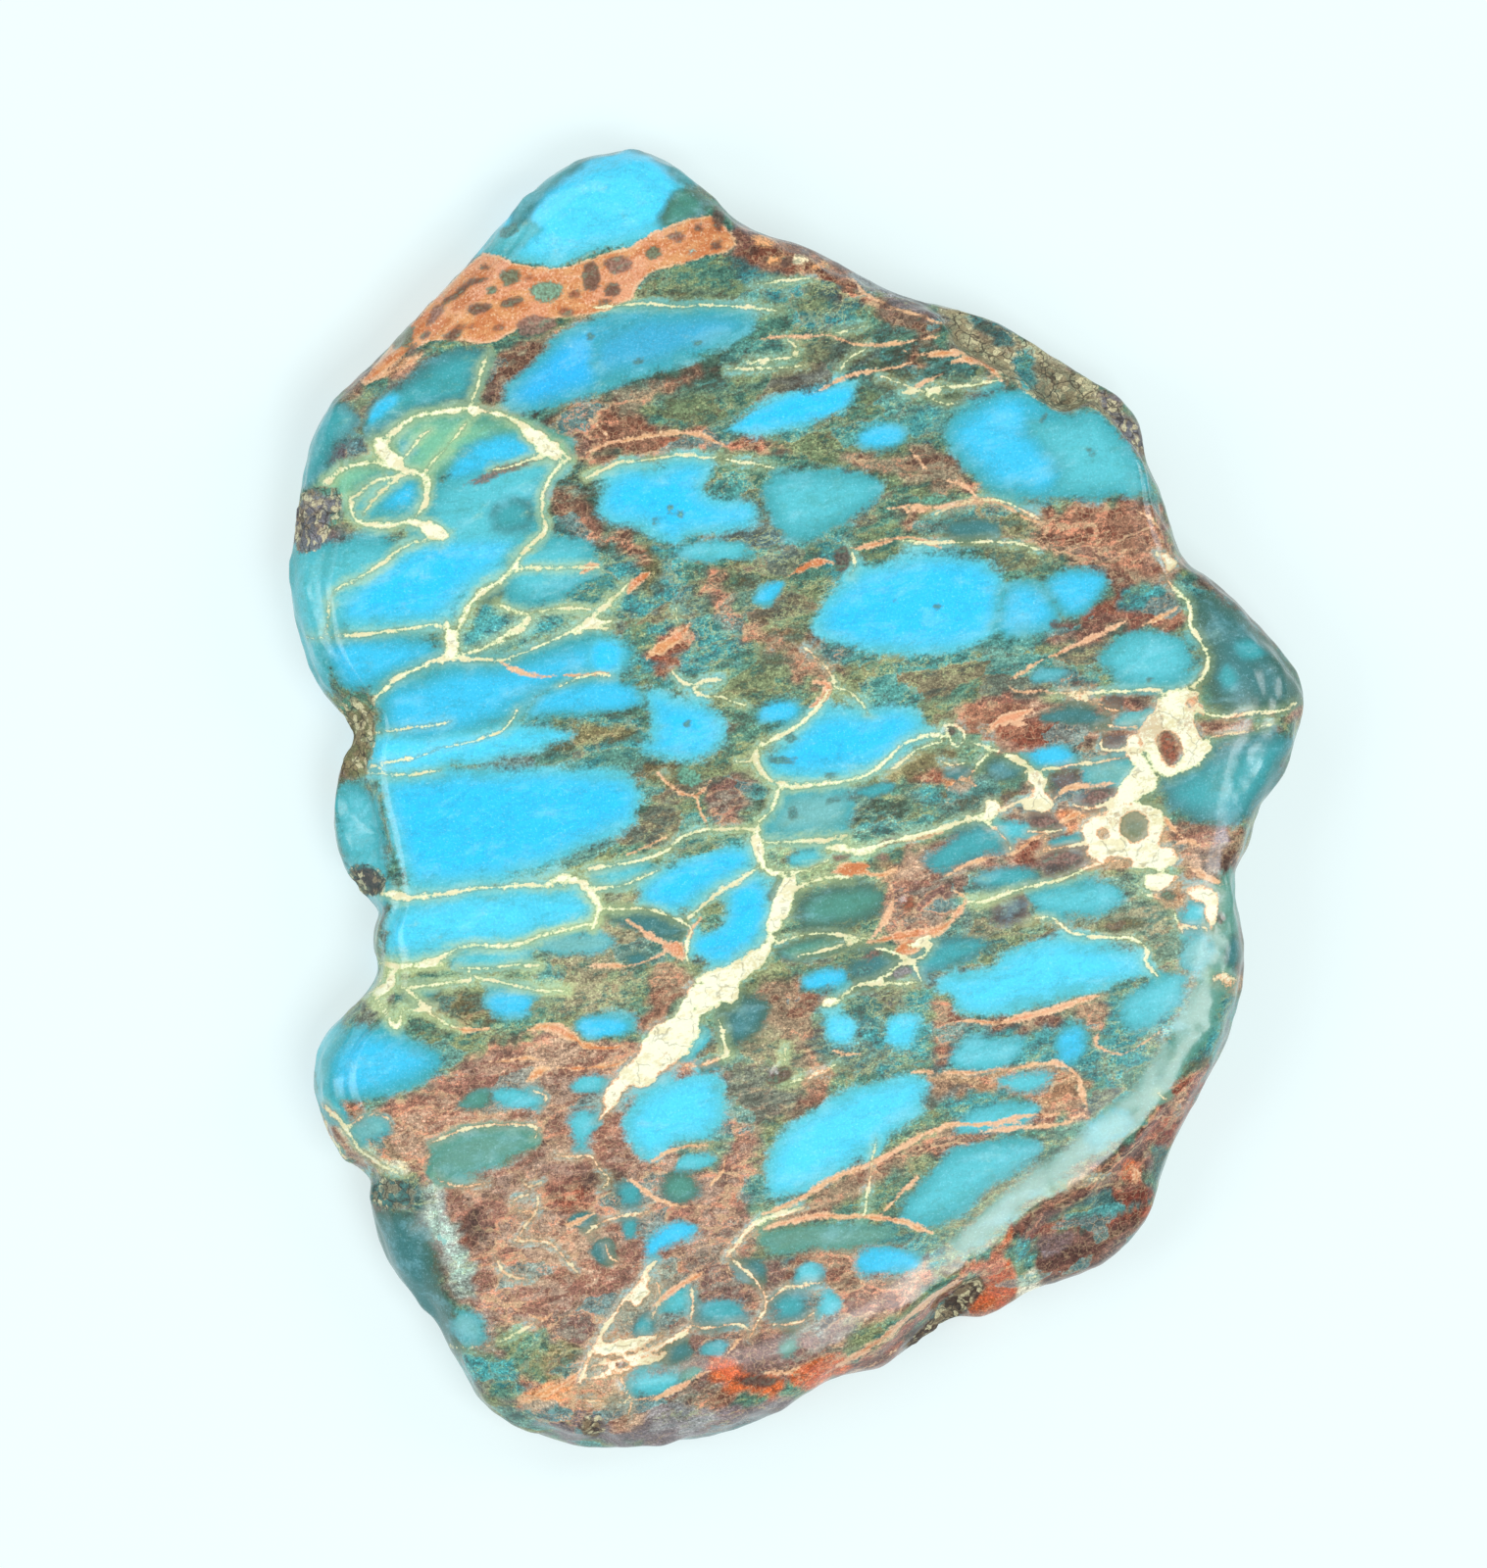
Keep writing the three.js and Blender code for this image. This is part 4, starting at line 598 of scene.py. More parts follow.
# Wider patches of the cream vein matter.
creamPatches = [
    [640,1098, 652,1070, 672,1046, 690,1032, 706,1030, 716,1044, 704,1066, 688,1086, 668,1102, 650,1112],
    [700,1022, 716,1000, 780,960, 788,968, 776,986, 718,1036],
    [784,936, 792,912, 806,892, 812,900, 806,924, 796,946, 786,956],
    [378,458, 384,448, 396,450, 412,476, 404,484], [528,437, 545,434, 576,460, 572,474, 556,467],
    [476,414, 484,408, 490,416, 484,424], [430,542, 444,536, 460,544, 452,554, 436,552],
    [1186,706, 1206,702, 1218,706, 1222,720, 1216,736, 1222,752, 1236,758, 1232,772, 1188,796, 1176,784,
      1160,752, 1162,738, 1172,732],
    [1156,782, 1170,784, 1180,792, 1180,806, 1170,815, 1156,818, 1146,825, 1134,822, 1142,800],
    [1104,846, 1110,836, 1128,827, 1150,821, 1180,826, 1188,842, 1180,862, 1196,866, 1202,878, 1184,890,
      1160,882, 1136,874, 1118,880, 1106,872, 1108,860],
    [1150,880, 1160,872, 1174,868, 1182,878, 1168,888, 1154,888],
    [1050,790, 1058,784, 1066,792, 1062,804, 1070,812, 1074,826, 1060,830, 1048,826, 1040,818, 1052,810,
      1054,800],
    [1004,828, 1008,816, 1018,816, 1024,824, 1014,836, 1004,842],
    [1166,896, 1184,890, 1202,888, 1200,900, 1186,908, 1170,908],
    [1206,906, 1222,902, 1240,906, 1244,922, 1240,948, 1228,948, 1232,930, 1228,918, 1210,918],
    [1246,998, 1258,994, 1260,1008, 1248,1010], [606,1376, 620,1366, 660,1360, 664,1368, 648,1376, 610,1384],
    [616,1396, 636,1386, 656,1384, 676,1374, 684,1380, 660,1392, 622,1402],
    [642,1324, 650,1308, 660,1302, 666,1312, 648,1334],
    [1150,752, 1164,744, 1168,770, 1182,792, 1166,788, 1152,778],
]

# Islands left in the cream.
creamIslands = [
    [1179,752, 1188,746, 1200,750, 1207,765, 1201,783, 1188,781, 1181,768],
    [1208,712, 1218,711, 1220,722, 1210,724], [626,1390, 640,1386, 644,1392, 630,1396],
    [1118,848, 1128,842, 1134,850, 1126,858], [1144,832, 1158,828, 1171,838, 1168,856, 1152,861, 1142,850],
]

# Orange and salmon veins on the chart.
orangeLines = [
    (1.4, [866,284, 891,308, 935,320, 963,332]), (2.5, [372,394, 434,360]),
    (2.0, [510,675, 530,685, 560,690, 620,688]), (3.3, [592,586, 602,580, 612,576]),
    (2.0, [600,462, 650,445, 690,440, 715,445, 740,455]), (1.4, [600,430, 615,440, 620,450]),
    (2.5, [780,1252, 800,1244, 830,1238, 895,1237, 950,1258]), (1.8, [900,1235, 935,1200]),
    (2.1, [778,1238, 820,1220, 860,1196, 900,1181, 962,1146, 1000,1146, 1050,1137, 1090,1135]),
    (1.3, [1000,1154, 1050,1147, 1090,1146, 1108,1132]),
    (3.3, [970,372, 990,366, 1010,376, 1022,390], [945,366, 965,362, 985,360]),
    (1.5, [930,460, 940,475, 945,480]), (1.6, [965,490, 985,495, 995,508]),
    (1.8, [925,525, 1000,510, 1020,513, 1050,530, 1065,535]), (2.5, [868,560, 880,560, 920,547, 960,558]),
    (1.4, [905,518, 915,520, 930,516, 945,520, 960,518]),
    (5.0, [806,588, 820,578, 838,574, 850,576], [640,606, 650,592, 668,583], [660,674, 706,638], [830,696,
      846,698, 840,714, 826,722]), (2.1, [1160,520, 1172,528, 1182,540]), (2.0, [1030,690, 1150,635]),
    (2.5, [1165,640, 1185,628, 1205,614]), (5.0, [1008,748, 1020,736, 1056,722]),
    (2.5, [985,918, 970,942, 955,952, 940,956], [980,1042, 1005,1045, 1050,1038, 1120,1015]),
    (1.5, [1120,1055, 1115,1070, 1140,1078, 1155,1072, 1190,1045]),
    (2.0, [960,1095, 1030,1090, 1050,1082, 1080,1085, 1095,1092, 1100,1100, 1110,1135]),
    (2.1, [700,975, 690,960, 680,965, 640,940]), (1.8, [700,965, 705,950, 715,935]),
    (2.0, [600,985, 640,985, 665,978, 680,970]), (6.0, [676,966, 688,968, 696,978]),
    (2.1, [672,790, 680,800, 695,810, 710,813, 720,805, 725,795]), (1.5, [713,815, 715,830, 722,842]),
    (1.8, [640,870, 660,862, 680,855]), (2.1, [895,868, 910,860, 960,848]),
    (2.8, [860,895, 880,890, 895,895, 910,890, 915,885]), (7.0, [848,890, 870,888, 892,884]),
    (2.0, [905,900, 912,915, 905,935, 895,950, 885,958]), (5.0, [885,960, 950,950, 962,944]),
    (6.0, [912,972, 928,966, 942,958]), (2.0, [700,1085, 720,1085, 740,1078]),
    (1.6, [930,1095, 945,1092, 960,1097], [850,1070, 862,1076, 876,1074]),
    (2.0, [655,278, 662,270, 674,268]), (4.0, [538,1050, 560,1048, 585,1056, 600,1068, 625,1071, 642,1064]),
    (2.6, [568,1088, 600,1090, 626,1088, 640,1080]), (2.2, [500,1082, 540,1075, 556,1080]),
    (4.0, [538,1100, 550,1092, 560,1088]), (2.4, [458,1046, 480,1052, 500,1048]),
    (2.6, [566,1246, 580,1252, 606,1238]),
    (1.8, [642,1204, 665,1220, 690,1230, 720,1228], [720,1212, 735,1196, 740,1180]),
    (2.0, [666,1182, 680,1172, 705,1168, 730,1170]), (2.4, [972,800, 985,796, 995,804]),
    (2.0, [960,894, 985,880, 1035,868]), (2.4, [1033,872, 1045,862, 1064,852]),
    (3.0, [1082,838, 1095,832, 1108,826]), (2.6, [1178,832, 1190,840, 1202,852]),
    (2.4, [1196,862, 1210,856, 1222,864]), (2.6, [1212,884, 1230,892, 1248,902]),
    (2.4, [1205,706, 1216,716, 1228,728]), (1.6, [1030,738, 1048,738], [960,905, 975,910, 985,920]),
    (1.8, [1030,700, 1045,706, 1060,704, 1075,708], [1075,816, 1085,806, 1100,802, 1138,800]),
    (2.8, [856,1394, 884,1378, 982,1300]), (3.2, [1152,1188, 1162,1196, 1156,1212]),
    (1.4, [1196,1128, 1206,1120, 1214,1126]), (1.6, [865,1404, 895,1392, 918,1376]),
    (3.4, [524,1434, 580,1410, 594,1396]), (3.2, [669,1332, 684,1318, 722,1292]),
    (2.0, [540,1340, 556,1346, 566,1338]), (2.6, [640,1426, 668,1428, 694,1416, 712,1404, 728,1400]),
    (1.4, [740,1384, 752,1368, 764,1356]), (2.4, [780,1398, 800,1402, 815,1394]),
    (1.7, [775,348, 800,345, 830,347, 845,342, 890,355, 920,352, 940,345, 960,343], [920,357, 930,365,
      960,358], [830,400, 850,388, 935,370], [930,400, 945,390, 960,385]),
]

# The breccia band below the upper lobe: its border, and the dark fragments held in it.
brecciaBand = [
    [510,261, 520,267, 549,275, 602,268, 616,261, 640,255, 660,242, 720,215, 745,235, 755,258, 700,268,
      650,288, 645,312, 540,330, 500,352, 470,345, 430,350, 372,396, 364,390, 484,258],
]
# Fragments of each tone: middle x, y, half length, half width, degrees it is turned by.
fragments = {
    "orange": [(778, 247, 11, 8, 0), (790, 266, 9, 5, 10), (838, 270, 10, 5, 15)],
    "peach": [(816, 266, 9, 5, 0)],
    "darkGreen": [(521, 283, 11, 9, 0), (413, 344, 14, 8, 45), (668, 258, 9, 8, 0), (502, 296, 5, 4, 0),
        (1190, 915, 8, 6, 0), (980, 388, 10, 4, 5)],
    "green": [(558, 298, 16, 11, 10), (683, 521, 5, 4, 0), (694, 526, 4, 3, 0), (703, 795, 12, 9, 0),
        (955, 510, 18, 5, 8)],
    "darkMauve": [(522, 310, 12, 6, 5), (489, 315, 13, 6, 8), (470, 296, 20, 5, 40), (464, 339, 12, 6, 40),
        (603, 284, 10, 16, 0), (496, 273, 4, 3, 0), (488, 287, 10, 3, 15), (733, 225, 7, 12, 0),
        (730, 253, 8, 7, 0), (765, 256, 6, 5, 0), (802, 268, 8, 4, 10), (420, 358, 9, 4, 40),
        (436, 340, 6, 4, 45), (712, 232, 6, 4, 0), (625, 296, 8, 7, 0), (616, 308, 7, 3, 0),
        (838, 274, 7, 3, 15), (455, 306, 5, 3, 45), (905, 312, 9, 3, 20), (940, 326, 8, 3, 25),
        (772, 1410, 22, 6, 5), (795, 1096, 13, 9, 20), (968, 745, 6, 7, 0), (1058, 822, 3, 3, 0),
        (1040, 826, 3, 3, 0), (1234, 915, 5, 4, 0), (1245, 936, 5, 5, 0), (1097, 697, 6, 3, 0),
        (1075, 636, 6, 4, 0), (860, 572, 9, 15, 0)],
    "mauve": [(443, 321, 12, 6, 50), (546, 334, 20, 11, 5), (632, 271, 13, 10, 0), (690, 242, 8, 5, 20),
        (906, 860, 14, 4, 15), (860, 875, 10, 4, 5), (900, 877, 10, 5, 5), (890, 972, 14, 4, 15),
        (508, 484, 38, 5, 20), (1065, 839, 14, 5, 12), (1120, 815, 18, 7, 10), (1082, 877, 20, 7, 12)],
    "paleTeal": [(705, 258, 6, 4, 10)],
    "beige": [(735, 247, 4, 3, 0), (783, 265, 5, 3, 0)],
    "redRust": [(578, 318, 9, 5, 5), (508, 334, 8, 4, 10), (540, 284, 5, 3, 0), (586, 300, 5, 4, 0),
        (480, 333, 6, 3, 20), (630, 1391, 10, 4, 10), (925, 920, 9, 8, 0), (1192, 765, 9, 17, 10)],
    "deepTeal": [(1174, 693, 4, 3, 0), (1112, 463, 4, 4, 0), (601, 345, 4, 3, 0), (713, 352, 4, 3, 0),
        (650, 370, 5, 3, 0), (670, 534, 4, 3, 0), (955, 619, 5, 4, 0), (702, 737, 4, 4, 0),
        (798, 777, 14, 3, 3), (805, 752, 5, 5, 0), (848, 791, 7, 2, 5), (810, 830, 5, 5, 0),
        (855, 816, 16, 4, 5), (903, 1070, 4, 3, 0), (912, 613, 3, 3, 0), (520, 235, 10, 7, 40),
        (880, 988, 10, 5, 10), (1063, 428, 6, 2, 60)],
    "greyMauve": [(920, 992, 14, 5, 15)],
}
# Small holes in the face: middle x, y, radius, depth in mm.
pits = [
    (795, 1096, 7, 0.16), (968, 746, 5, 0.14), (704, 1042, 3.5, 0.1), (372, 713, 6, 0.2), (607, 1455, 9, 0.3),
    (1190, 1056, 4, 0.1), (925, 920, 5, 0.1), (733, 226, 4, 0.1), (1245, 938, 4, 0.1), (637, 1392, 4, 0.12),
]
# The tone a nodule has at its border.
noduleRims = {
    "sky": "turqTeal", "skyPale": "turqTeal", "turquoise": "teal", "turqTeal": "teal", "teal": "deepTeal",
    "deepTeal": "darkGreen", "green": "darkGreen", "paleTeal": "teal", "paleGreen": "green",
    "deepSky": "teal", "blue": "teal", "sage": "green",
    "mauve": "darkMauve", "darkMauve": "mauve", "rust": "darkMauve", "beige": "olive",
}
# Places where the stone is broken and was never polished, then the smooth patches in them.
brokenAreas = [
    [952,318, 985,316, 1010,326, 1060,352, 1075,375, 1100,385, 1110,402, 1080,422, 1050,404, 1025,385,
      985,358],
    [1085,372, 1120,388, 1140,408, 1168,440, 1172,470, 1155,455, 1130,425, 1100,405],
    [925,1382, 928,1366, 950,1348, 968,1325, 990,1300, 1005,1304, 998,1324, 980,1345, 955,1366, 938,1388],
    [300,498, 342,496, 352,510, 345,528, 335,548, 322,566, 300,566],
    [352,885, 372,878, 394,890, 392,912, 374,918, 356,905],
    [342,712, 378,704, 384,722, 380,790, 352,800, 344,780],
    [376,1205, 420,1204, 428,1228, 404,1236, 378,1230], [596,1446, 616,1444, 620,1462, 604,1470, 594,1462],
]
smoothPatches = [
    [983,330, 1000,322, 1030,340, 1048,356, 1040,364, 1010,352],
    [1034,362, 1046,357, 1058,366, 1060,388, 1050,398, 1038,384],
]
# Where the ground is paler beside veins: x, y, reach, how much.
palePlaces = [
    (835, 825, 150, 0.45), (1010, 915, 110, 0.50), (600, 940, 120, 0.45), (400, 985, 90, 0.30),
    (780, 1090, 90, 0.40), (1130, 880, 90, 0.20), (350, 1090, 80, 0.35),
]

slabShape = {
    "sectionsPerStation": 4,
    "stepsBetweenRings": [1, 2, 2, 4, 4, 4, 5, 4, 4, 4],
    "facePitch": 0.270 * millimetre,  # grid of the polished face
    "basePitch": 1.2 * millimetre,
    "gridClear": 0.55,  # pitches that a grid keeps clear of the edge round it
    "veinPitch": 3.4,  # chart units between corners along a vein
    "veinMerge": 0.11 * millimetre,  # veins that cross share corners nearer than this
    "veinClear": 0.58,  # pitches between the grid and the corners along veins
    "rimClear": 0.5,  # pitches between the rim and the corners along veins
    "rollDepth": 0.10 * millimetre,  # how far the face falls off at its rim
    "rollWidth": 20.0,  # chart units
    "rimLevels": (0.55, 1.0),  # shares of the height over which the side follows the roll
    "lowerRight": (0.78, -0.62),  # the way towards the soft shoulder
    "shoulderTurn": (0.35, 0.85),  # how nearly a corner lies that way
    "shoulderRoll": -0.07 * millimetre,  # added to the depth of the roll there
    "shoulderLevels": (0.70, 0.90),
    "shoulderLift": 0.6,
    "veinSink": 0.035 * millimetre,
    "faceWave": 0.012 * millimetre,
    "faceWaveSize": 70.0,
    "pitEdge": (0.3, 1.3),  # of a pit's radius
    "sideWave": 0.10 * millimetre,
    # noises: share, size across and upwards in mm, place in the noise
    "sideWaves": ((1.0, 2.1, 1.6, 0.0), (0.5, 0.8, 0.8, 9.0)),
    "sideLowEnd": (0, 6),  # rows over which the waves of the side die away
    "sideHighEnd": (0, 9),
    "brokenRelief": 0.17 * millimetre,
    "crumbs": ((1.0, 0.45, 0.45, 4.0), (0.6, 1.1, 1.1, 0.0)),
    "crumbLevel": 0.25,
}
veining = {
    "grainAngle": math.radians(14),  # up to the right
    "grainStretch": 2.2,
    "wanderStretch": 1.5,
    "wander": ((3.4, 26.0, 3.7), (1.3, 7.0, 11.2)),  # how far borders wander, size, place in the noise
    "frayStretch": 1.6,
    "fray": ((14.0, 15.0, 41.0), (9.0, 7.0, 47.0)),  # how much borders fray, size, place in the noise
    "patchFray": 0.35,  # share of it on the patches of cream
    "follow": 12.0,  # markings are followed this far outside their outlines
    "fullFray": 8.0,  # softness from which the ground's borders fray in full
    "softShare": 0.7,
    "creamStart": 21.0,  # places of the veins in the noise
    "orangeStart": 57.0,
    "nextVein": 1.37,
    "veinTip": 0.30,  # share of a vein's width left at its ends
    "veinWobble": 0.55,
    "veinWobbleSize": 8.0,
    "noduleDepth": 12.0,  # the field in the middle of a small nodule is raised to this
    "noduleRim": (0.75, 26.0),  # where the middle tone starts: share of a nodule's depth, and at most
    "noduleOverlap": (0.35, 5.0, 12.0),  # softness over another: share of its depth, least, most
    "noduleFray": 0.4,
    "noduleCreep": 9.0,  # how far nodules reach out to a vein beside them
    "creepRange": (-12.0, -3.0),
    "brokenWander": 0.6,
    "baseShift": (25.0, -18.0),  # how the markings of the base are moved from those above
    "baseWander": 42.0,
    "baseWanderSize": 60.0,
    "baseWanderStart": 31.0,
    "baseSlide": 22.0,
    "baseSlideSize": 40.0,
    "baseSlideRise": 1.6 * millimetre,
    "baseDrop": 1.15,  # shares of the belly's height over which the markings change
    "paleness": 0.28,  # how strongly pale borders show beside the veins
    "palerLeft": 0.38,
    "leftSide": (680.0, 580.0),  # chart ranges over which the ground changes
    "upperBand": (680.0, 600.0),
    "lowerBand": ((900.0, 940.0), (1080.0, 1040.0)),
    "upperPart": (760.0, 480.0),
    "paleLevels": (0.55, 0.90),  # shares of the height below which there are no pale borders
    "upperShade": (0.26, 0.14, 0.10),  # how much darker the ground is in the upper part
    "seed": 5,  # of the noise that bends every border
}
noise.seed_set(veining["seed"])


def linear(tone):
    values = np.array(tone, dtype=float) / 255.0
    return np.where(values <= 0.04045, values / 12.92, ((values + 0.055) / 1.055) ** 2.4)


def fade(values, low, high):
    share = np.clip((values - low) / (high - low), 0.0, 1.0)
    return share * share * (3.0 - 2.0 * share)


# The part is made of equal stations round it, each with the same number of rings from base to rim.
def readStations():
    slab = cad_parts["turquoise_slab"]
    corners = np.array([slab.matrix_world @ vertex.co for vertex in slab.data.vertices])
    corners = np.unique(np.round(corners, 6), axis=0)
    count = int((corners[:, 2] < 1e-5).sum())
    order = np.argsort(np.arctan2(corners[:, 1], corners[:, 0]))
    stations = corners[order].reshape(count, -1, 3)
    byHeight = np.argsort(stations[:, :, 2], axis=1)
    return np.take_along_axis(stations, byHeight[:, :, None], axis=1).transpose(1, 0, 2)


def smoothAround(rings, steps):
    before = np.roll(rings, 1, axis=1)
    after = np.roll(rings, -1, axis=1)
    beyond = np.roll(rings, -2, axis=1)
    parts = []
    for step in range(steps):
        t = step / steps
        parts.append(0.5 * (2 * rings + (after - before) * t
                            + (2 * before - 5 * rings + 4 * after - beyond) * t ** 2
                            + (3 * rings - before - 3 * after + beyond) * t ** 3))
    return np.stack(parts, axis=2).reshape(rings.shape[0], -1, 3)


def smoothAcross(rings, steps):
    gaps = np.maximum(np.linalg.norm(np.diff(rings, axis=0), axis=2), 1e-7)[..., None]
    rise = np.diff(rings, axis=0) / gaps
    near = 2 * gaps[1:] + gaps[:-1]
    far = gaps[1:] + 2 * gaps[:-1]
    agree = rise[:-1] * rise[1:] > 1e-12
    first = np.where(agree, rise[:-1], 1.0)
    second = np.where(agree, rise[1:], 1.0)
    slopes = np.zeros_like(rings)
    slopes[1:-1] = np.where(agree, (near + far) / (near / first + far / second), 0.0)
    slopes[0] = rise[0]
    slopes[-1] = rise[-1]
    slopes[-1, :, 2] = 0.0
    rows = []
    for index, count in enumerate(steps):
        for step in range(count):
            t = step / count
            rows.append((2 * t ** 3 - 3 * t ** 2 + 1) * rings[index]
                        + (t ** 3 - 2 * t ** 2 + t) * gaps[index] * slopes[index]
                        + (3 * t ** 2 - 2 * t ** 3) * rings[index + 1]
                        + (t ** 3 - t ** 2) * gaps[index] * slopes[index + 1])
    rows.append(rings[-1])
    return np.array(rows)


def toChart(points):
    across = points[:, 0] / chartUnit + chartMiddle[0]
    down = chartMiddle[1] - points[:, 1] / chartUnit
    return np.column_stack((across, down))


def fromChart(places):
    right = (places[:, 0] - chartMiddle[0]) * chartUnit
    up = (chartMiddle[1] - places[:, 1]) * chartUnit
    return np.column_stack((right, up))


def flatTree(places):
    tree = kdtree.KDTree(len(places))
    for index, place in enumerate(places):
        tree.insert((place[0], place[1], 0.0), index)
    tree.balance()
    return tree


def gapsTo(tree, points):
    return np.array([tree.find((x, y, 0.0))[2] for x, y in points])


# Distance inwards from a ring of corners, below zero outside it.
def gapToRing(points, ring):
    dense = np.concatenate([ring + (np.roll(ring, -1, axis=0) - ring) * t for t in (0.0, 0.25, 0.5, 0.75)])
    gaps = gapsTo(flatTree(dense), points)
    angles = np.arctan2(ring[:, 1], ring[:, 0])
    order = np.argsort(angles)
    reach = np.interp(np.arctan2(points[:, 1], points[:, 0]), angles[order],
                      np.hypot(ring[order, 0], ring[order, 1]), period=2 * math.pi)
    return np.where(np.hypot(points[:, 0], points[:, 1]) < reach, gaps, -gaps)


def gridInside(ring, pitch):
    low = ring.min(axis=0)
    high = ring.max(axis=0)
    rowShare = 0.866  # of the pitch, for triangles with equal sides
    places = []
    rows = int((high[1] - low[1]) / (pitch * rowShare)) + 1
    for row in range(rows):
        across = np.arange(low[0] + (row % 2) * pitch / 2, high[0], pitch)
        places.append(np.column_stack((across, np.full(len(across), low[1] + row * pitch * rowShare))))
    places = np.concatenate(places)
    return places[gapToRing(places, ring) > pitch * slabShape["gridClear"]]


# Triangles over a ring's corners and the places inside it.
def fillRing(ring, places):
    corners = [Vector(place) for place in np.concatenate((ring, places)) / millimetre]
    edges = [(index, (index + 1) % len(ring)) for index in range(len(ring))]
    found, ignoredEdges, triangles, origins, *ignored = delaunay_2d_cdt(corners, edges, [], 1, 1e-7)
    if len(found) != len(corners):
        print("corners merged:", len(corners) - len(found))
    back = [origin[0] for origin in origins]
    return np.array([[back[corner] for corner in triangle] for triangle in triangles])


def alongGrain(places, stretch):
    turn = veining["grainAngle"]
    along = places[:, 0] * math.cos(turn) - places[:, 1] * math.sin(turn)
    across = places[:, 0] * math.sin(turn) + places[:, 1] * math.cos(turn)
    return np.column_stack((along / stretch, across))


def cloud(places, size, start):
    return np.array([noise.noise((x / size, y / size, start)) for x, y in places])


def solidCloud(points, size, rise, start=0.0):
    return np.array([noise.noise((x / size, y / size, z / rise + start)) for x, y, z in points])


# Noises on top of one another.
def layered(points, layers):
    return sum(share * solidCloud(points, size * millimetre, rise * millimetre, start)
               for share, size, rise, start in layers)


def drift(places, size, start):
    moved = [noise.noise_vector((x / size, y / size, start)) for x, y in places]
    return np.array([(vector[0], vector[1]) for vector in moved])


def wander(places):
    grain = alongGrain(places, veining["wanderStretch"])
    return sum(drift(grain, size, start) * amount for amount, size, start in veining["wander"])


def fraying(places):
    grain = alongGrain(places, veining["frayStretch"])
    return sum(amount * cloud(grain, size, start) for amount, size, start in veining["fray"])


def pairs(values):
    return np.array(values, dtype=float).reshape(-1, 2)


def roundCorners(path, closed, passes):
    for ignored in range(passes):
        ends = np.roll(path, -1, axis=0)
        cut = np.stack((path * 0.75 + ends * 0.25, path * 0.25 + ends * 0.75), axis=1)
        if closed:
            path = cut.reshape(-1, 2)
        elif len(path) > 2:
            inner = cut[:-1].reshape(-1, 2)
            path = np.concatenate((path[:1], inner[1:-1], path[-1:]))
    return path


def evenSteps(path, pitch):
    lengths = np.concatenate(([0.0], np.cumsum(np.hypot(*np.diff(path, axis=0).T))))
    count = max(2, int(round(lengths[-1] / pitch)) + 1)
    marks = np.linspace(0.0, lengths[-1], count)
    across, down = (np.interp(marks, lengths, path[:, index]) for index in range(2))
    return np.column_stack((across, down)), marks


def near(places, shape, margin):
    reach = margin + veining["follow"]
    low = shape.min(axis=0) - reach
    high = shape.max(axis=0) + reach
    return np.nonzero(((places > low) & (places < high)).all(axis=1))[0]


# Distances to the stretches of a path, and how far along each stretch the nearest point lies.
def gapsToPath(places, starts, span):
    offset = places[:, None, :] - starts[None]
    along = np.clip((offset * span).sum(axis=2) / np.maximum((span ** 2).sum(axis=1), 1e-9), 0.0, 1.0)
    return np.sqrt(((offset - along[..., None] * span) ** 2).sum(axis=2)), along


# Distance inside a closed outline, below zero outside it.
def inset(places, outline):
    ends = np.roll(outline, -1, axis=0)
    span = ends - outline
    gap = gapsToPath(places, outline, span)[0].min(axis=1)
    level = places[:, None, 1]
    crosses = (outline[None, :, 1] > level) != (ends[None, :, 1] > level)
    rise = np.where(np.abs(span[:, 1]) < 1e-9, 1e-9, span[:, 1])
    crossing = outline[None, :, 0] + (level - outline[None, :, 1]) / rise * span[:, 0]
    inside = (crosses & (places[:, None, 0] < crossing)).sum(axis=1) % 2 == 1
    return np.where(inside, gap, -gap)


# The places near each outline that have any, with their distances inside it.
def followed(places, outlines, margins=None):
    for number, outline in enumerate(outlines):
        chosen = near(places, outline, margins[number] if margins else 0.0)
        if len(chosen):
            yield number, chosen, inset(places[chosen], outline)


def rounded(values):
    return roundCorners(pairs(values), True, 1)


def emptyField(places):
    return np.full(len(places), -veining["follow"])


# A vein narrows towards its ends and wobbles in width.
def veinPath(halfWidth, values, start):
    path, marks = evenSteps(roundCorners(pairs(values), False, 2), slabShape["veinPitch"])
    taper = max(min(marks[-1] * 0.35, 4 * halfWidth + 6), 0.5)
    ends = np.minimum(marks, marks[-1] - marks)
    tip = veining["veinTip"]
    wobble = 1.0 + veining["veinWobble"] * cloud(path, veining["veinWobbleSize"], start)
    return path, halfWidth * (tip + (1 - tip) * fade(ends, -0.01, taper)) * wobble


def veinPaths(lines, start):
    veins = [(halfWidth, values) for halfWidth, *several in lines for values in several]
    return [(halfWidth, *veinPath(halfWidth, values, start + number * veining["nextVein"]))
            for number, (halfWidth, values) in enumerate(veins)]


def veinField(places, paths):
    field = emptyField(places)
    for halfWidth, path, widths in paths:
        chosen = near(places, path, halfWidth * 1.6)
        if len(chosen):
            gap, along = gapsToPath(places[chosen], path[:-1], path[1:] - path[:-1])
            value = (widths[:-1] + (widths[1:] - widths[:-1]) * along - gap).max(axis=1)
            field[chosen] = np.maximum(field[chosen], value)
    return field


def ellipse(middleX, middleY, halfLength, halfWidth, turned):
    turn = math.radians(turned)
    uneven = 0.12
    steps = np.linspace(0, 2 * math.pi, 14, endpoint=False)
    along = halfLength * np.cos(steps) * (1 + uneven * np.cos(steps * 3 + middleX))
    across = halfWidth * np.sin(steps) * (1 + uneven * np.sin(steps * 2 + middleY))
    return np.column_stack((middleX + along * math.cos(turn) - across * math.sin(turn),
                            middleY - along * math.sin(turn) - across * math.cos(turn)))


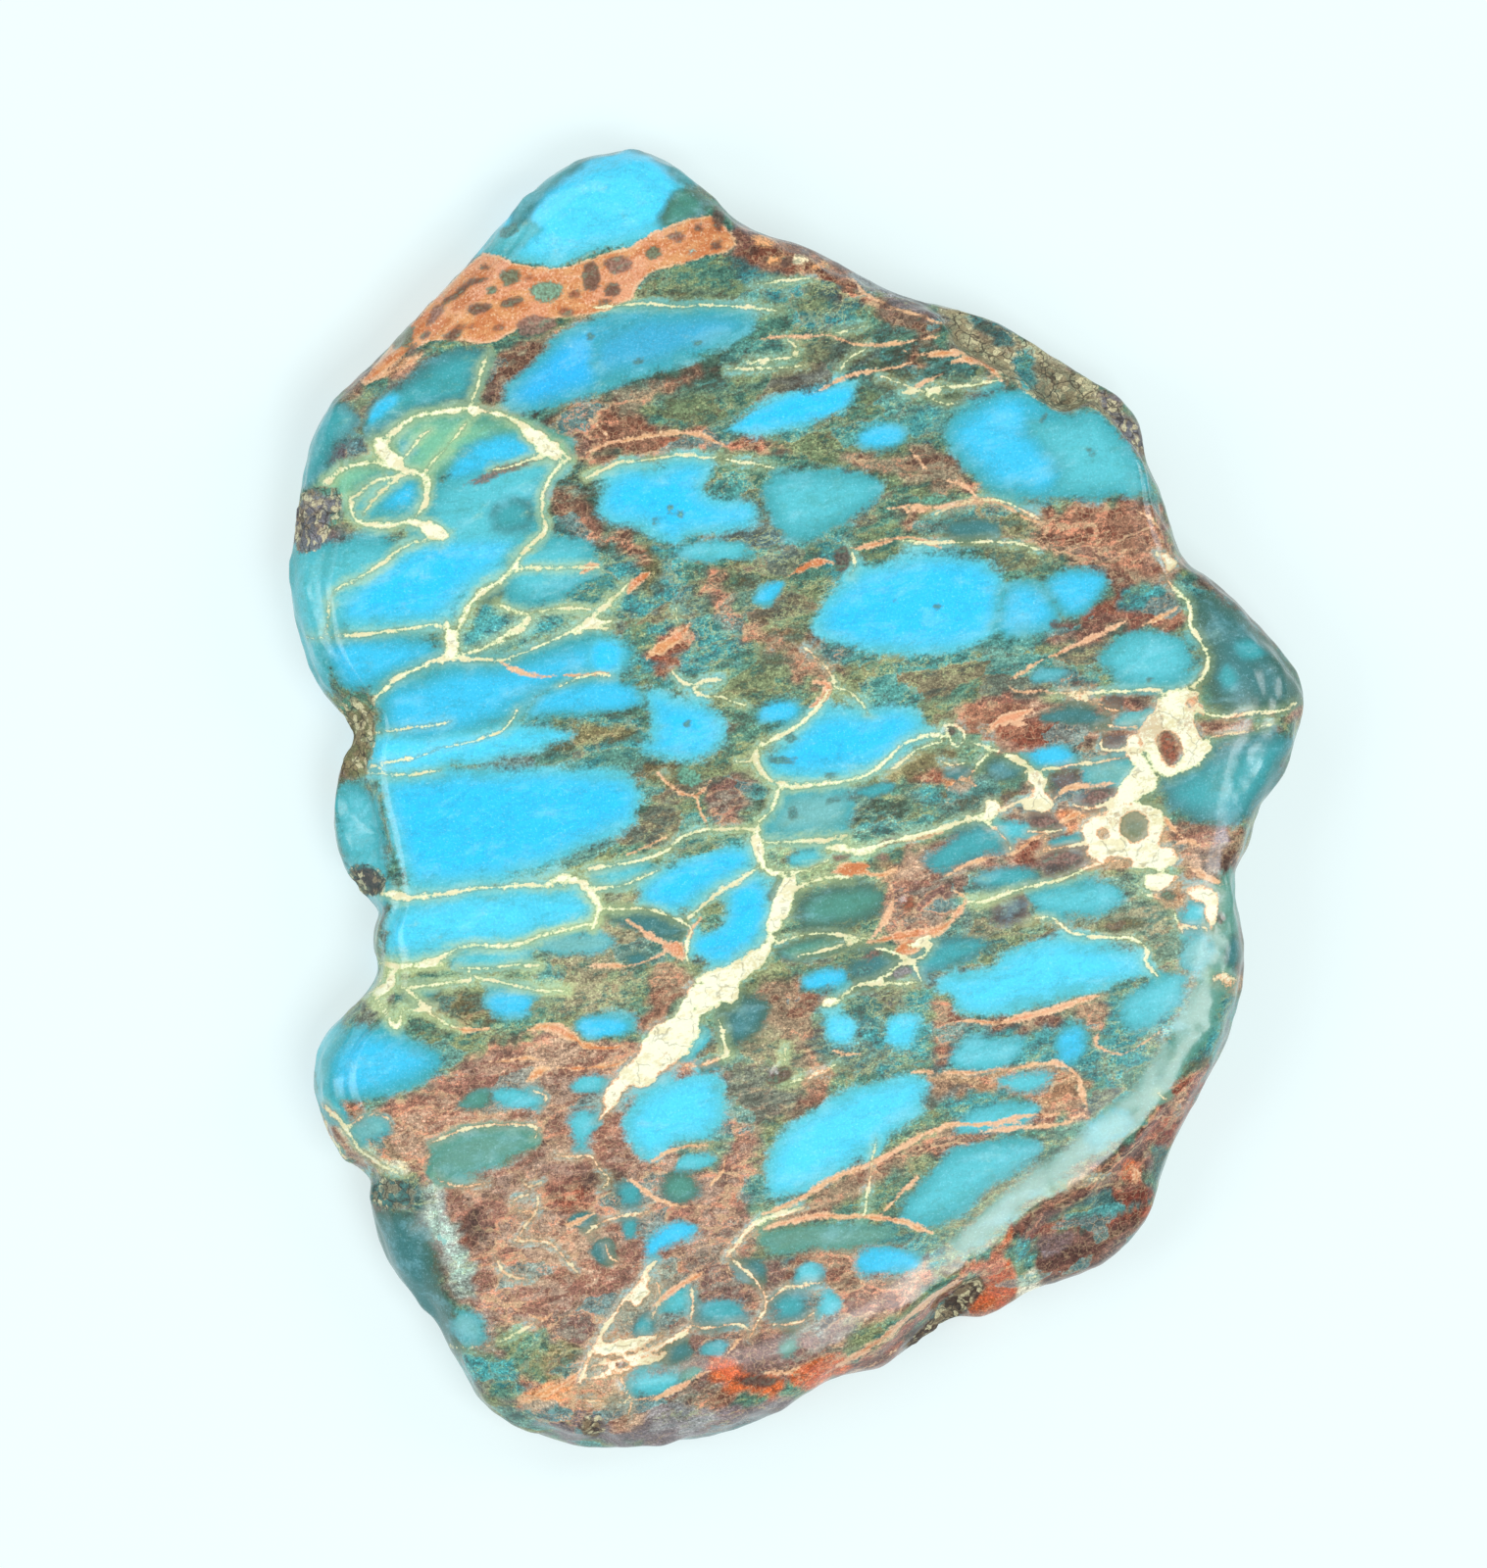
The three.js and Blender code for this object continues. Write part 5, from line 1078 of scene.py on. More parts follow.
def paintGround(places, fray):
    main, second, share = tones["green"]
    tint = np.tile(linear(main), (len(places), 1))
    other = np.tile(linear(second), (len(places), 1))
    shares = np.full(len(places), share)
    outlines = [rounded(values) for tone, softness, values in groundAreas]
    margins = [softness for tone, softness, values in groundAreas]
    for number, chosen, depth in followed(places, outlines, margins):
        tone, softness, values = groundAreas[number]
        depth = depth + fray[chosen] * min(1.0, softness / veining["fullFray"])
        soft = softness * veining["softShare"]
        weight = fade(depth, -soft, soft)
        main, second, share = tones[tone]
        tint[chosen] += (linear(main) - tint[chosen]) * weight[:, None]
        other[chosen] += (linear(second) - other[chosen]) * weight[:, None]
        shares[chosen] += (share - shares[chosen]) * weight
    return tint, other, shares


# A nodule's tint runs from its border to its middle, and fades into a nodule under it.
def paintNodules(places, fray):
    field = emptyField(places)
    tint = np.tile(linear(tones["turqTeal"][0]), (len(places), 1))
    rimShare, rimMost = veining["noduleRim"]
    softShare, softLeast, softMost = veining["noduleOverlap"]
    for number, chosen, depth in followed(places, [rounded(values) for tone, values in noduleAreas]):
        tone = noduleAreas[number][0]
        middle = linear(tones[tone][0])
        border = linear(tones[noduleRims[tone]][0])
        deepest = max(depth.max(), 4.0)
        inner = fade(depth, -2.0, min(rimShare * deepest, rimMost))[:, None]
        depth = depth * max(1.0, veining["noduleDepth"] / deepest)
        soft = min(max(softShare * deepest, softLeast), softMost)
        blend = fade(depth + veining["noduleFray"] * fray[chosen], -soft, soft)
        over = np.where(field[chosen] > 0, blend, depth > field[chosen])[:, None]
        tint[chosen] += (border + (middle - border) * inner - tint[chosen]) * over
        field[chosen] = np.maximum(field[chosen], depth)
    return field, tint


def paintFragments(places):
    field = emptyField(places)
    tint = np.tile(linear(tones["darkMauve"][0]), (len(places), 1))
    for tone, shapes in fragments.items():
        for number, chosen, depth in followed(places, [ellipse(*shape) for shape in shapes]):
            wins = depth > field[chosen]
            tint[chosen[wins]] = linear(tones[tone][0])
            field[chosen[wins]] = depth[wins]
    return field, tint


def areaField(places, areas):
    field = emptyField(places)
    for number, chosen, depth in followed(places, [rounded(values) for values in areas]):
        field[chosen] = np.maximum(field[chosen], depth)
    return field


# The surface: rows of corners up the sides, a fine grid with the veins over the face, a coarse one below.
rings = smoothAround(readStations(), slabShape["sectionsPerStation"])
rows = smoothAcross(rings, slabShape["stepsBetweenRings"])
rowCount, sectionCount = rows.shape[:2]
rimRing = rows[-1, :, :2]
baseRing = rows[0, :, :2]

facePitch = slabShape["facePitch"]
facePlaces = gridInside(rimRing, facePitch)
creamPaths = veinPaths(creamLines, veining["creamStart"])
orangePaths = veinPaths(orangeLines, veining["orangeStart"])
veinPlaces = np.concatenate([path for halfWidth, path, widths in creamPaths + orangePaths])
veinPlaces = fromChart(veinPlaces - wander(veinPlaces))
ignored, kept = np.unique(np.round(veinPlaces / slabShape["veinMerge"]), axis=0, return_index=True)
veinPlaces = veinPlaces[np.sort(kept)]
veinPlaces = veinPlaces[gapToRing(veinPlaces, rimRing) > facePitch * slabShape["rimClear"]]
clear = gapsTo(flatTree(veinPlaces), facePlaces) > facePitch * slabShape["veinClear"]
facePlaces = np.concatenate((facePlaces[clear], veinPlaces))
basePlaces = gridInside(baseRing, slabShape["basePitch"])
print("corners on the face:", len(facePlaces), "sections:", sectionCount, "rows:", rowCount)

sideCorners = rows.reshape(-1, 3)
faceCorners = np.column_stack((facePlaces, np.full(len(facePlaces), faceHeight)))
baseCorners = np.column_stack((basePlaces, np.zeros(len(basePlaces))))
corners = np.concatenate((sideCorners, faceCorners, baseCorners))
sideCount = len(sideCorners)
rimStart = sideCount - sectionCount
baseStart = sideCount + len(faceCorners)

low = np.arange(rimStart).reshape(rowCount - 1, sectionCount)
nextLow = np.roll(low, -1, axis=1)
sideFaces = np.stack((low, nextLow, nextLow + sectionCount, low + sectionCount), axis=2).reshape(-1, 4)
faceFill = fillRing(rimRing, facePlaces) + rimStart
baseFill = fillRing(baseRing, basePlaces)
baseFill = np.where(baseFill < sectionCount, baseFill, baseFill - sectionCount + baseStart)


def upwards(triangles):
    first, second, third = (corners[triangles[:, index], :2] for index in range(3))
    one = second - first
    other = third - first
    return one[:, 0] * other[:, 1] - one[:, 1] * other[:, 0] > 0


faceFill = np.where(upwards(faceFill)[:, None], faceFill, faceFill[:, ::-1])
baseFill = np.where(upwards(baseFill)[:, None], baseFill[:, ::-1], baseFill)
print("triangles:", 2 * len(sideFaces) + len(faceFill) + len(baseFill))

# Chart places of every corner. Under the belly the markings wander off towards those of the base.
chartPlaces = toChart(corners)
belly = np.argmax(np.hypot(rows[:, :, 0], rows[:, :, 1]), axis=0)
rowNumbers = np.repeat(np.arange(rowCount), sectionCount)
bellyHeights = np.tile(rows[belly, np.arange(sectionCount), 2], rowCount)
drop = fade(bellyHeights - sideCorners[:, 2], 0.0, veining["baseDrop"] * np.maximum(bellyHeights, 1e-4))
under = np.zeros(len(corners))
under[:sideCount] = np.where(rowNumbers < np.tile(belly, rowCount), drop, 0.0)
under[baseStart:] = 1.0
below = under > 0
moved = chartPlaces[below]
sweep = drift(moved, veining["baseWanderSize"], veining["baseWanderStart"])
away = np.array(veining["baseShift"]) + veining["baseWander"] * sweep
slid = np.column_stack((moved, corners[below][:, 2]))
away[:, 0] += veining["baseSlide"] * solidCloud(slid, veining["baseSlideSize"], veining["baseSlideRise"])
chartPlaces[below] += away * np.sqrt(under[below])[:, None]
wandered = chartPlaces + wander(chartPlaces)
print("chart laid out")

# The markings: tints, and fields that are above zero inside each kind of marking.
heights = corners[:, 2] / faceHeight
chartX, chartY = wandered.T
borderFray = fraying(wandered)
groundTint, groundSecond, groundShare = paintGround(wandered, borderFray)
nodule, noduleTint = paintNodules(wandered, borderFray)
fragment, fragmentTint = paintFragments(wandered)
patches = areaField(wandered, creamPatches) + veining["patchFray"] * borderFray
cream = np.maximum(veinField(wandered, creamPaths), patches)
cream = np.minimum(cream, -areaField(wandered, creamIslands))
orange = np.maximum(veinField(wandered, orangePaths), areaField(wandered, brecciaBand))
nodule += veining["noduleCreep"] * fade(cream, *veining["creepRange"])
broken = areaField(chartPlaces + veining["brokenWander"] * wander(chartPlaces), brokenAreas)
broken = np.minimum(broken, -areaField(chartPlaces, smoothPatches))
broken[below] = -veining["follow"]

# Pale borders are strongest at the left, in two bands, and in the places named above.
start, end = veining["lowerBand"]
bands = fade(chartY, *veining["upperBand"]) + fade(chartY, *start) * fade(chartY, *end)
paleness = veining["paleness"] + veining["palerLeft"] * fade(chartX, *veining["leftSide"]) * bands
for middleX, middleY, reach, extra in palePlaces:
    paleness += extra * fade(-np.hypot(chartX - middleX, chartY - middleY), -reach, 0.0)
paleness *= fade(heights, *veining["paleLevels"])
upperPart = fade(chartY, *veining["upperPart"])[:, None]
for tint in (groundTint, groundSecond):
    tint *= 1.0 - upperPart * np.array(veining["upperShade"])
print("markings painted")

# The relief: the face's soft rim, the lower right shoulder, sunken veins, pits, waves and broken places.
onFace = np.zeros(len(corners), dtype=bool)
onFace[sideCount:baseStart] = True
rimGap = np.zeros(len(corners))
rimGap[onFace] = gapToRing(facePlaces, rimRing) / chartUnit
rimShare = fade(heights, *slabShape["rimLevels"])
towardsX, towardsY = slabShape["lowerRight"]
distance = np.maximum(np.hypot(corners[:, 0], corners[:, 1]), 1e-6)
towards = (corners[:, 0] * towardsX + corners[:, 1] * towardsY) / distance
shoulder = fade(towards, *slabShape["shoulderTurn"])
rollDepth = slabShape["rollDepth"] + slabShape["shoulderRoll"] * shoulder
roll = np.where(onFace, np.clip(1 - rimGap / slabShape["rollWidth"], 0.0, 1.0) ** 2, rimShare)
lift = -rollDepth * roll * (~below)
shoulder = shoulder * fade(heights, *slabShape["shoulderLevels"]) * (~onFace) * (~below)
lift += slabShape["shoulderLift"] * shoulder * (faceHeight - corners[:, 2])
lift += slabShape["faceWave"] * cloud(chartPlaces, slabShape["faceWaveSize"], 5.0) * onFace
lift -= slabShape["veinSink"] * fade(cream, -1.5, 1.5) * (onFace | (rimShare > 0.2))
inner, outer = slabShape["pitEdge"]
for middleX, middleY, radius, depth in pits:
    uneven = 2.0 * cloud(chartPlaces, 5.0, middleX)
    gap = np.hypot(chartPlaces[:, 0] - middleX, chartPlaces[:, 1] - middleY) + uneven
    lift -= depth * millimetre * (1 - fade(gap, radius * inner, radius * outer)) * (~below)

slabMesh = bpy.data.meshes.new("polishedSlab")
slabMesh.from_pydata(corners.tolist(), [], sideFaces.tolist() + faceFill.tolist() + baseFill.tolist())
slabMesh.update()
outward = np.empty(len(corners) * 3)
slabMesh.vertex_normals.foreach_get("vector", outward)
outward = outward.reshape(-1, 3)
onSide = np.zeros(len(corners))
onSide[:sideCount] = (fade(rowNumbers, *slabShape["sideLowEnd"])
                      * fade(rowCount - 1 - rowNumbers, *slabShape["sideHighEnd"]))
swell = slabShape["sideWave"] * layered(corners, slabShape["sideWaves"]) * onSide
crumble = layered(corners, slabShape["crumbs"]) - slabShape["crumbLevel"]
swell += slabShape["brokenRelief"] * crumble * fade(broken, -1.0, 5.0)
corners = corners + outward * swell[:, None]
corners[:, 2] += lift
corners = np.clip(corners, (slabLow[0], slabLow[1], 0.0), (slabHigh[0], slabHigh[1], faceHeight))
slabMesh.vertices.foreach_set("co", corners.ravel())
slabMesh.polygons.foreach_set("use_smooth", np.ones(len(slabMesh.polygons), dtype=bool))
slabMesh.update()

stored = {
    "groundTint": groundTint, "groundSecond": groundSecond, "noduleTint": noduleTint,
    "fragmentTint": fragmentTint, "groundShare": groundShare, "nodule": nodule, "fragment": fragment,
    "cream": cream, "orange": orange, "broken": broken, "underside": under, "paleness": paleness,
}
for name, values in stored.items():
    if values.ndim == 2:
        layer = slabMesh.attributes.new(name, "FLOAT_COLOR", "POINT")
        opaque = np.column_stack((np.clip(values, 0, 1), np.ones(len(values))))
        layer.data.foreach_set("color", opaque.ravel())
    else:
        layer = slabMesh.attributes.new(name, "FLOAT", "POINT")
        layer.data.foreach_set("value", values)
polishedSlab = bpy.data.objects.new("polishedSlab", slabMesh)
bpy.context.collection.objects.link(polishedSlab)
print("slab built")

# The stone's finish: sizes of the patterns in it, tinges and flecks, and its polish.
stoneFinish = {
    "noises": {  # scale, detail, roughness
        "slow": (420.0, 2.0, 0.5), "quick": (1500.0, 2.0, 0.5), "swirl": (900.0, 6.0, 0.68),
        "blotch": (420.0, 5.0, 0.62), "streak": (2000.0, 5.0, 0.70), "sharp": (5600.0, 3.0, 0.65),
        "fine": (9500.0, 2.0, 0.6), "broad": (210.0, 3.0, 0.6), "marbling": (620.0, 8.0, 0.70),
        "seams": (700.0, 7.0, 0.68),
    },
    "cells": {"net": 620.0, "flakes": 2400.0, "cracks": 800.0},  # cells per metre
    "bends": {  # how far patterns are bent, in mm
        "swirl": 1.6, "blotch": 1.0, "net": 1.4, "cracks": 0.7, "flakes": 0.5, "marbling": 1.2,
    },
    "stretches": {"blotch": 1.6, "streak": 1.9, "marbling": 1.7},  # along the grain
    "groundTinge": (0.98, 0.89, 0.90),
    "noduleTinge": (0.70, 0.92, 1.01),
    "cloudTinge": (0.86, 0.84, 0.78),
    "palerPatch": (0.50, 0.86, 0.96),
    "sharpFleck": (0.62, 0.90, 0.98),
    "paleFleck": (0.70, 0.95, 1.0),
    "darkFleck": (0.03, 0.20, 0.22),
    "polish": 0.20,
    "veinRoughness": 0.42,
    "brokenRoughness": 0.85,
    "baseRoughness": 0.45,
    "bump": 0.05,
    "bumpDepth": 0.3 * millimetre,
    "refraction": 1.5,
}


def addNode(tree, kind, inputs=None, outlet=0, **settings):
    node = tree.nodes.new(kind)
    for name, value in settings.items():
        setattr(node, name, value)
    for key, value in (inputs or {}).items():
        if isinstance(value, bpy.types.NodeSocket):
            tree.links.new(value, node.inputs[key])
        else:
            node.inputs[key].default_value = value
    return node.outputs[outlet] if len(node.outputs) else node


def tone(name, index=0):
    return (*linear(tones[name][index]), 1.0)


def makeStone():
    material = bpy.data.materials.new("polishedTurquoise")
    material.use_nodes = True
    tree = material.node_tree
    tree.nodes.clear()

    def put(kind, inputs=None, outlet=0, **settings):
        return addNode(tree, "ShaderNode" + kind, inputs, outlet, **settings)

    def maths(operation, first, second=0.0):
        return put("Math", {0: first, 1: second}, operation=operation)

    def add(first, *others):
        for other in others:
            first = maths("ADD", first, other)
        return first

    def times(first, second):
        return maths("MULTIPLY", first, second)

    # how far a noise is from its middle, times an amount
    def about(value, amount):
        return times(maths("SUBTRACT", value, 0.5), amount)

    def mixture(first, much, second, less):
        return add(about(first, much), about(second, less))

    # runs softly from lowOut to highOut as the value goes from low to high
    def step(value, low, high, lowOut=0.0, highOut=1.0):
        inputs = {0: value, 1: low, 2: high, 3: lowOut, 4: highOut}
        return put("MapRange", inputs, interpolation_type="SMOOTHSTEP")

    # a thin line where the value passes the middle
    def line(value, middle, wide, narrow, strength=1.0):
        return step(maths("ABSOLUTE", maths("SUBTRACT", value, middle)), wide, narrow, 0.0, strength)

    def mix(share, first, second, blend="MIX"):
        return put("Mix", {0: share, 6: first, 7: second}, 2, data_type="RGBA", blend_type=blend)

    def finish(name):
        return (*stoneFinish[name], 1.0)

    def tinged(tint, tinge):
        return mix(1.0, tint, finish(tinge), "MULTIPLY")

    def scaled(tint, factor):
        return put("VectorMath", {0: tint, "Scale": factor}, operation="SCALE")

    def fleck(tint, value, low, high, factor):
        return mix(step(value, low, high), tint, scaled(tint, factor))

    def read(name, outlet="Fac"):
        return put("Attribute", outlet=outlet, attribute_name=name)

    def grain(vector, name, outlet=0):
        scale, detail, roughness = stoneFinish["noises"][name]
        inputs = {"Vector": vector, "Scale": scale, "Detail": detail, "Roughness": roughness}
        return put("TexNoise", inputs, outlet)

    def cells(vector, name, feature="F1", outlet="Color"):
        inputs = {"Vector": vector, "Scale": stoneFinish["cells"][name], "Randomness": 1.0}
        return put("TexVoronoi", inputs, outlet, feature=feature)

    def cellBorders(vector, name):
        return cells(vector, name, "DISTANCE_TO_EDGE", "Distance")

    def part(tint, index):
        return put("SeparateColor", {0: tint}, index)

    def drawnOut(stretch):
        turn = (0.0, 0.0, veining["grainAngle"])
        inputs = {"Vector": place, "Rotation": turn, "Scale": (stretch, 1.0, 1.0)}
        return put("Mapping", inputs, vector_type="TEXTURE")

    def sway(vector, name):
        inputs = {0: grain(vector, name, "Color"), 1: (0.5, 0.5, 0.5)}
        return put("VectorMath", inputs, operation="SUBTRACT")

    def bend(vector, swaying, name):
        inputs = {0: vector, 1: scaled(swaying, stoneFinish["bends"][name] * millimetre)}
        return put("VectorMath", inputs, operation="ADD")

    place = put("TexCoord", outlet="Object")
    stretches = stoneFinish["stretches"]
    stretched = drawnOut(veining["grainStretch"])
    slow = sway(stretched, "slow")
    quick = sway(place, "quick")
    swirl = grain(bend(stretched, slow, "swirl"), "swirl")
    blotch = grain(bend(drawnOut(stretches["blotch"]), slow, "blotch"), "blotch")
    streak = grain(drawnOut(stretches["streak"]), "streak")
    sharp = grain(place, "sharp")
    fine = grain(place, "fine")
    broad = grain(stretched, "broad")

    # ground: two tones in blotches and streaks, some cells of it teal or brown
    netPlace = bend(bend(stretched, slow, "net"), quick, "cracks")
    picks = cells(netPlace, "net")
    pick = add(about(swirl, 1.0), about(streak, 1.3), about(blotch, 0.55), about(part(picks, 0), 0.30))
    cut = step(read("groundShare"), 0.0, 1.0, 0.22, -0.22)
    share = step(maths("SUBTRACT", pick, cut), -0.11, 0.11)
    groundTint = read("groundTint", "Color")
    ground = mix(share, groundTint, read("groundSecond", "Color"))
    stain = step(maths("SUBTRACT", part(groundTint, 0), part(groundTint, 1)), -0.06, 0.10)
    ground = mix(step(part(picks, 1), 0.86, 0.92, 0.0, 0.50), ground, tone("teal"))
    ground = mix(step(part(picks, 1), 0.14, 0.09, 0.0, 0.45), ground, tone("mauve"))
    light = step(mixture(streak, 1.1, swirl, 0.9), -0.24, 0.24, 0.46, 1.42)
    light = add(times(maths("SUBTRACT", light, 0.95), step(stain, 0.0, 1.0, 1.0, 0.55)), 0.95)
    ground = scaled(ground, light)
    ground = fleck(ground, sharp, 0.54, 0.66, 1.55)
    ground = fleck(ground, sharp, 0.44, 0.34, 0.62)

    # the brown ground is pebbly: small flakes with pale borders
    flakePlace = bend(place, quick, "flakes")
    flakes = cells(flakePlace, "flakes")
    flakeBorders = cellBorders(flakePlace, "flakes")
    ground = scaled(ground, add(times(about(part(flakes, 2), 0.44), stain), 1.0))
    paleBorders = step(add(flakeBorders, about(streak, 0.5)), 0.05, 0.0, 0.0, 0.35)
    ground = mix(times(paleBorders, stain), ground, tone("peach", 1))

    # a net of broken veinlets between the cells
    haloTint = mix(stain, tone("paleGreen", 1), tone("peach", 1))
    borders = add(cellBorders(netPlace, "net"), about(swirl, 0.30), about(streak, 0.14))
    net = times(step(borders, 0.070, 0.020), step(mixture(broad, 1.0, swirl, 0.5), -0.12, 0.06))
    onTop = step(read("paleness"), 0.04, 0.26, 0.25, 1.0)
    net = times(times(net, step(stain, 0.0, 1.0, 0.28, 0.72)), onTop)
    netTint = mix(step(streak, 0.46, 0.56), haloTint, mix(stain, tone("tan"), tone("salmon")))
    ground = mix(net, ground, netTint)

    # every cream vein has a pale border in the ground
    fray = add(about(swirl, 7.0), about(sharp, 6.0), about(streak, 8.0))
    creamField = add(read("cream"), -0.35, fray)
    halo = times(step(add(creamField, about(swirl, 12.0)), -11.0, 0.5), read("paleness"))
    ground = mix(halo, ground, haloTint)

    # marbling: thin pale threads, dark seams, flecks and pores
    marbling = grain(bend(drawnOut(stretches["marbling"]), slow, "marbling"), "marbling")
    pale = step(mixture(broad, 1.0, streak, 0.7), -0.06, 0.08)
    pale = times(line(marbling, 0.5, 0.017, 0.004), pale)
    pale = times(times(pale, step(stain, 0.0, 1.0, 0.58, 0.80)), onTop)
    threadTint = mix(step(streak, 0.44, 0.56), haloTint, mix(stain, haloTint, tone("salmon")))
    ground = mix(pale, ground, threadTint)
    seams = grain(bend(drawnOut(stretches["streak"]), slow, "marbling"), "seams")
    dark = line(seams, 0.47, 0.024, 0.004, 0.5)
    ground = mix(dark, ground, tone("bark"))
    ground = fleck(ground, fine, 0.56, 0.70, 1.7)
    ground = fleck(ground, fine, 0.44, 0.32, 0.5)
    ground = tinged(ground, "groundTinge")

    # nodules, clouded with a second tone
    inNodule = step(add(read("nodule"), about(swirl, 30.0), about(sharp, 12.0)), -5.5, 5.5)
    nodule = read("noduleTint", "Color")
    clouds = step(mixture(blotch, 1.0, streak, 0.8), 0.0, 0.24, 0.0, 0.9)
    nodule = mix(clouds, nodule, tinged(nodule, "cloudTinge"))
    paler = step(mixture(swirl, 1.0, blotch, -0.8), 0.0, 0.22, 0.0, 0.20)
    nodule = mix(paler, nodule, finish("palerPatch"))
    nodule = mix(step(sharp, 0.60, 0.72, 0.0, 0.22), nodule, finish("sharpFleck"))
    nodule = mix(step(fine, 0.58, 0.74, 0.0, 0.22), nodule, finish("paleFleck"))
    nodule = mix(step(fine, 0.42, 0.30, 0.0, 0.22), nodule, finish("darkFleck"))
    nodule = mix(times(dark, 0.35), nodule, tone("deepTeal"))
    stone = mix(inNodule, ground, tinged(nodule, "noduleTinge"))
    stone = mix(times(halo, 0.75), stone, haloTint)

    # orange and salmon veins with the breccia band
    inOrange = step(add(read("orange"), fray, about(blotch, 6.0)), -1.2, 1.2, 0.0, 0.92)
    deeper = step(mixture(swirl, 1.0, streak, 0.6), -0.10, 0.10)
    matrix = mix(deeper, tone("deepOrange"), tone("orange"))
    rosy = step(mixture(blotch, 1.0, sharp, 0.5), -0.02, 0.10, 0.0, 0.80)
    matrix = mix(rosy, matrix, tone("salmon"))
    brown = step(mixture(swirl, 1.0, blotch, -0.6), 0.10, 0.20, 0.0, 0.75)
    matrix = mix(brown, matrix, tone("salmon", 1))
    matrix = mix(step(sharp, 0.54, 0.68, 0.0, 0.5), matrix, tone("peach"))
    matrix = mix(step(fine, 0.44, 0.32, 0.0, 0.5), matrix, tone("redRust"))
    matrix = mix(step(read("orange"), 1.2, 2.8, 0.35, 0.0), matrix, tone("peach"))
    stone = mix(inOrange, stone, matrix)

    inFragment = add(read("fragment"), times(fray, 1.3), about(blotch, 8.0))
    fragment = scaled(read("fragmentTint", "Color"), step(sharp, 0.35, 0.65, 0.65, 1.45))
    fragment = mix(step(streak, 0.50, 0.64, 0.0, 0.5), fragment, tone("green"))
    fragment = mix(step(inFragment, 3.0, 0.5, 0.0, 0.45), fragment, tone("bark"))
    stone = mix(step(inFragment, -2.0, 2.2, 0.0, 0.86), stone, fragment)

    # cream veins: a fine dark line at the border, cream white inside, with a dark crackle
    border = times(step(creamField, -2.6, -1.2), step(creamField, -0.5, -1.0, 0.0, 0.38))
    stone = mix(border, stone, tone("olive", 1))
    inCream = step(creamField, -0.9, 0.6)
    vein = mix(step(creamField, -0.2, 2.0), mix(stain, tone("veinEdge"), tone("orange")), tone("cream"))
    cloudy = step(mixture(swirl, 1.0, streak, 0.8), 0.0, 0.10, 0.0, 0.85)
    vein = mix(cloudy, vein, tone("cream", 1))
    mottle = step(mixture(blotch, 1.0, sharp, 0.7), 0.06, 0.18, 0.0, 0.70)
    vein = mix(mottle, vein, mix(stain, tone("veinEdge", 1), tone("tan")))
    crackBorders = cellBorders(bend(place, quick, "cracks"), "cracks")
    crackle = step(crackBorders, 0.045, 0.008)
    cracks = times(times(crackle, step(creamField, 2.2, 4.2, 0.0, 0.45)), step(swirl, 0.40, 0.52))
    vein = mix(cracks, vein, tone("beige", 1))
    stone = mix(inCream, stone, vein)

    # broken places: crumbly beige matrix
    isBroken = step(add(read("broken"), times(fray, 1.5)), -1.5, 1.5)
    crust = scaled(groundTint, step(swirl, 0.38, 0.62, 0.62, 1.25))
    tanFlakes = step(add(part(flakes, 0), about(streak, 1.6)), 0.50, 0.70, 0.0, 0.55)
    crust = mix(tanFlakes, crust, tone("crust", 1))
    creamFlakes = step(add(part(flakes, 1), about(swirl, 1.6)), 0.66, 0.90, 0.0, 0.70)
    crust = mix(creamFlakes, crust, tone("cream", 1))
    gaps = add(flakeBorders, about(sharp, 0.3))
    crust = mix(step(gaps, 0.07, 0.0, 0.0, 0.55), crust, tone("bark"))
    crust = mix(step(crackBorders, 0.05, 0.01, 0.0, 0.8), crust, tone("bark", 1))
    crust = scaled(crust, step(fine, 0.35, 0.65, 0.75, 1.25))
    stone = mix(times(isBroken, 0.92), stone, crust)
    stone = scaled(stone, step(sharp, 0.30, 0.70, 0.93, 1.06))

    rough = step(inCream, 0.0, 1.0, stoneFinish["polish"], stoneFinish["veinRoughness"])
    rough = maths("MAXIMUM", rough, step(isBroken, 0.0, 1.0, 0.0, stoneFinish["brokenRoughness"]))
    rough = maths("MAXIMUM", rough, step(read("underside"), 0.2, 0.8, 0.0, stoneFinish["baseRoughness"]))
    height = add(times(sharp, 0.35), times(streak, 0.4))
    inputs = {"Strength": stoneFinish["bump"], "Distance": stoneFinish["bumpDepth"], "Height": height}
    bump = put("Bump", inputs)
    inputs = {"Base Color": stone, "Roughness": rough, "IOR": stoneFinish["refraction"], "Normal": bump}
    shader = put("BsdfPrincipled", inputs)
    put("OutputMaterial", {"Surface": shader})
    return material


slabMesh.materials.append(makeStone())
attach(polishedSlab, "root")
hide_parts("turquoise_slab")
print("stone finished")

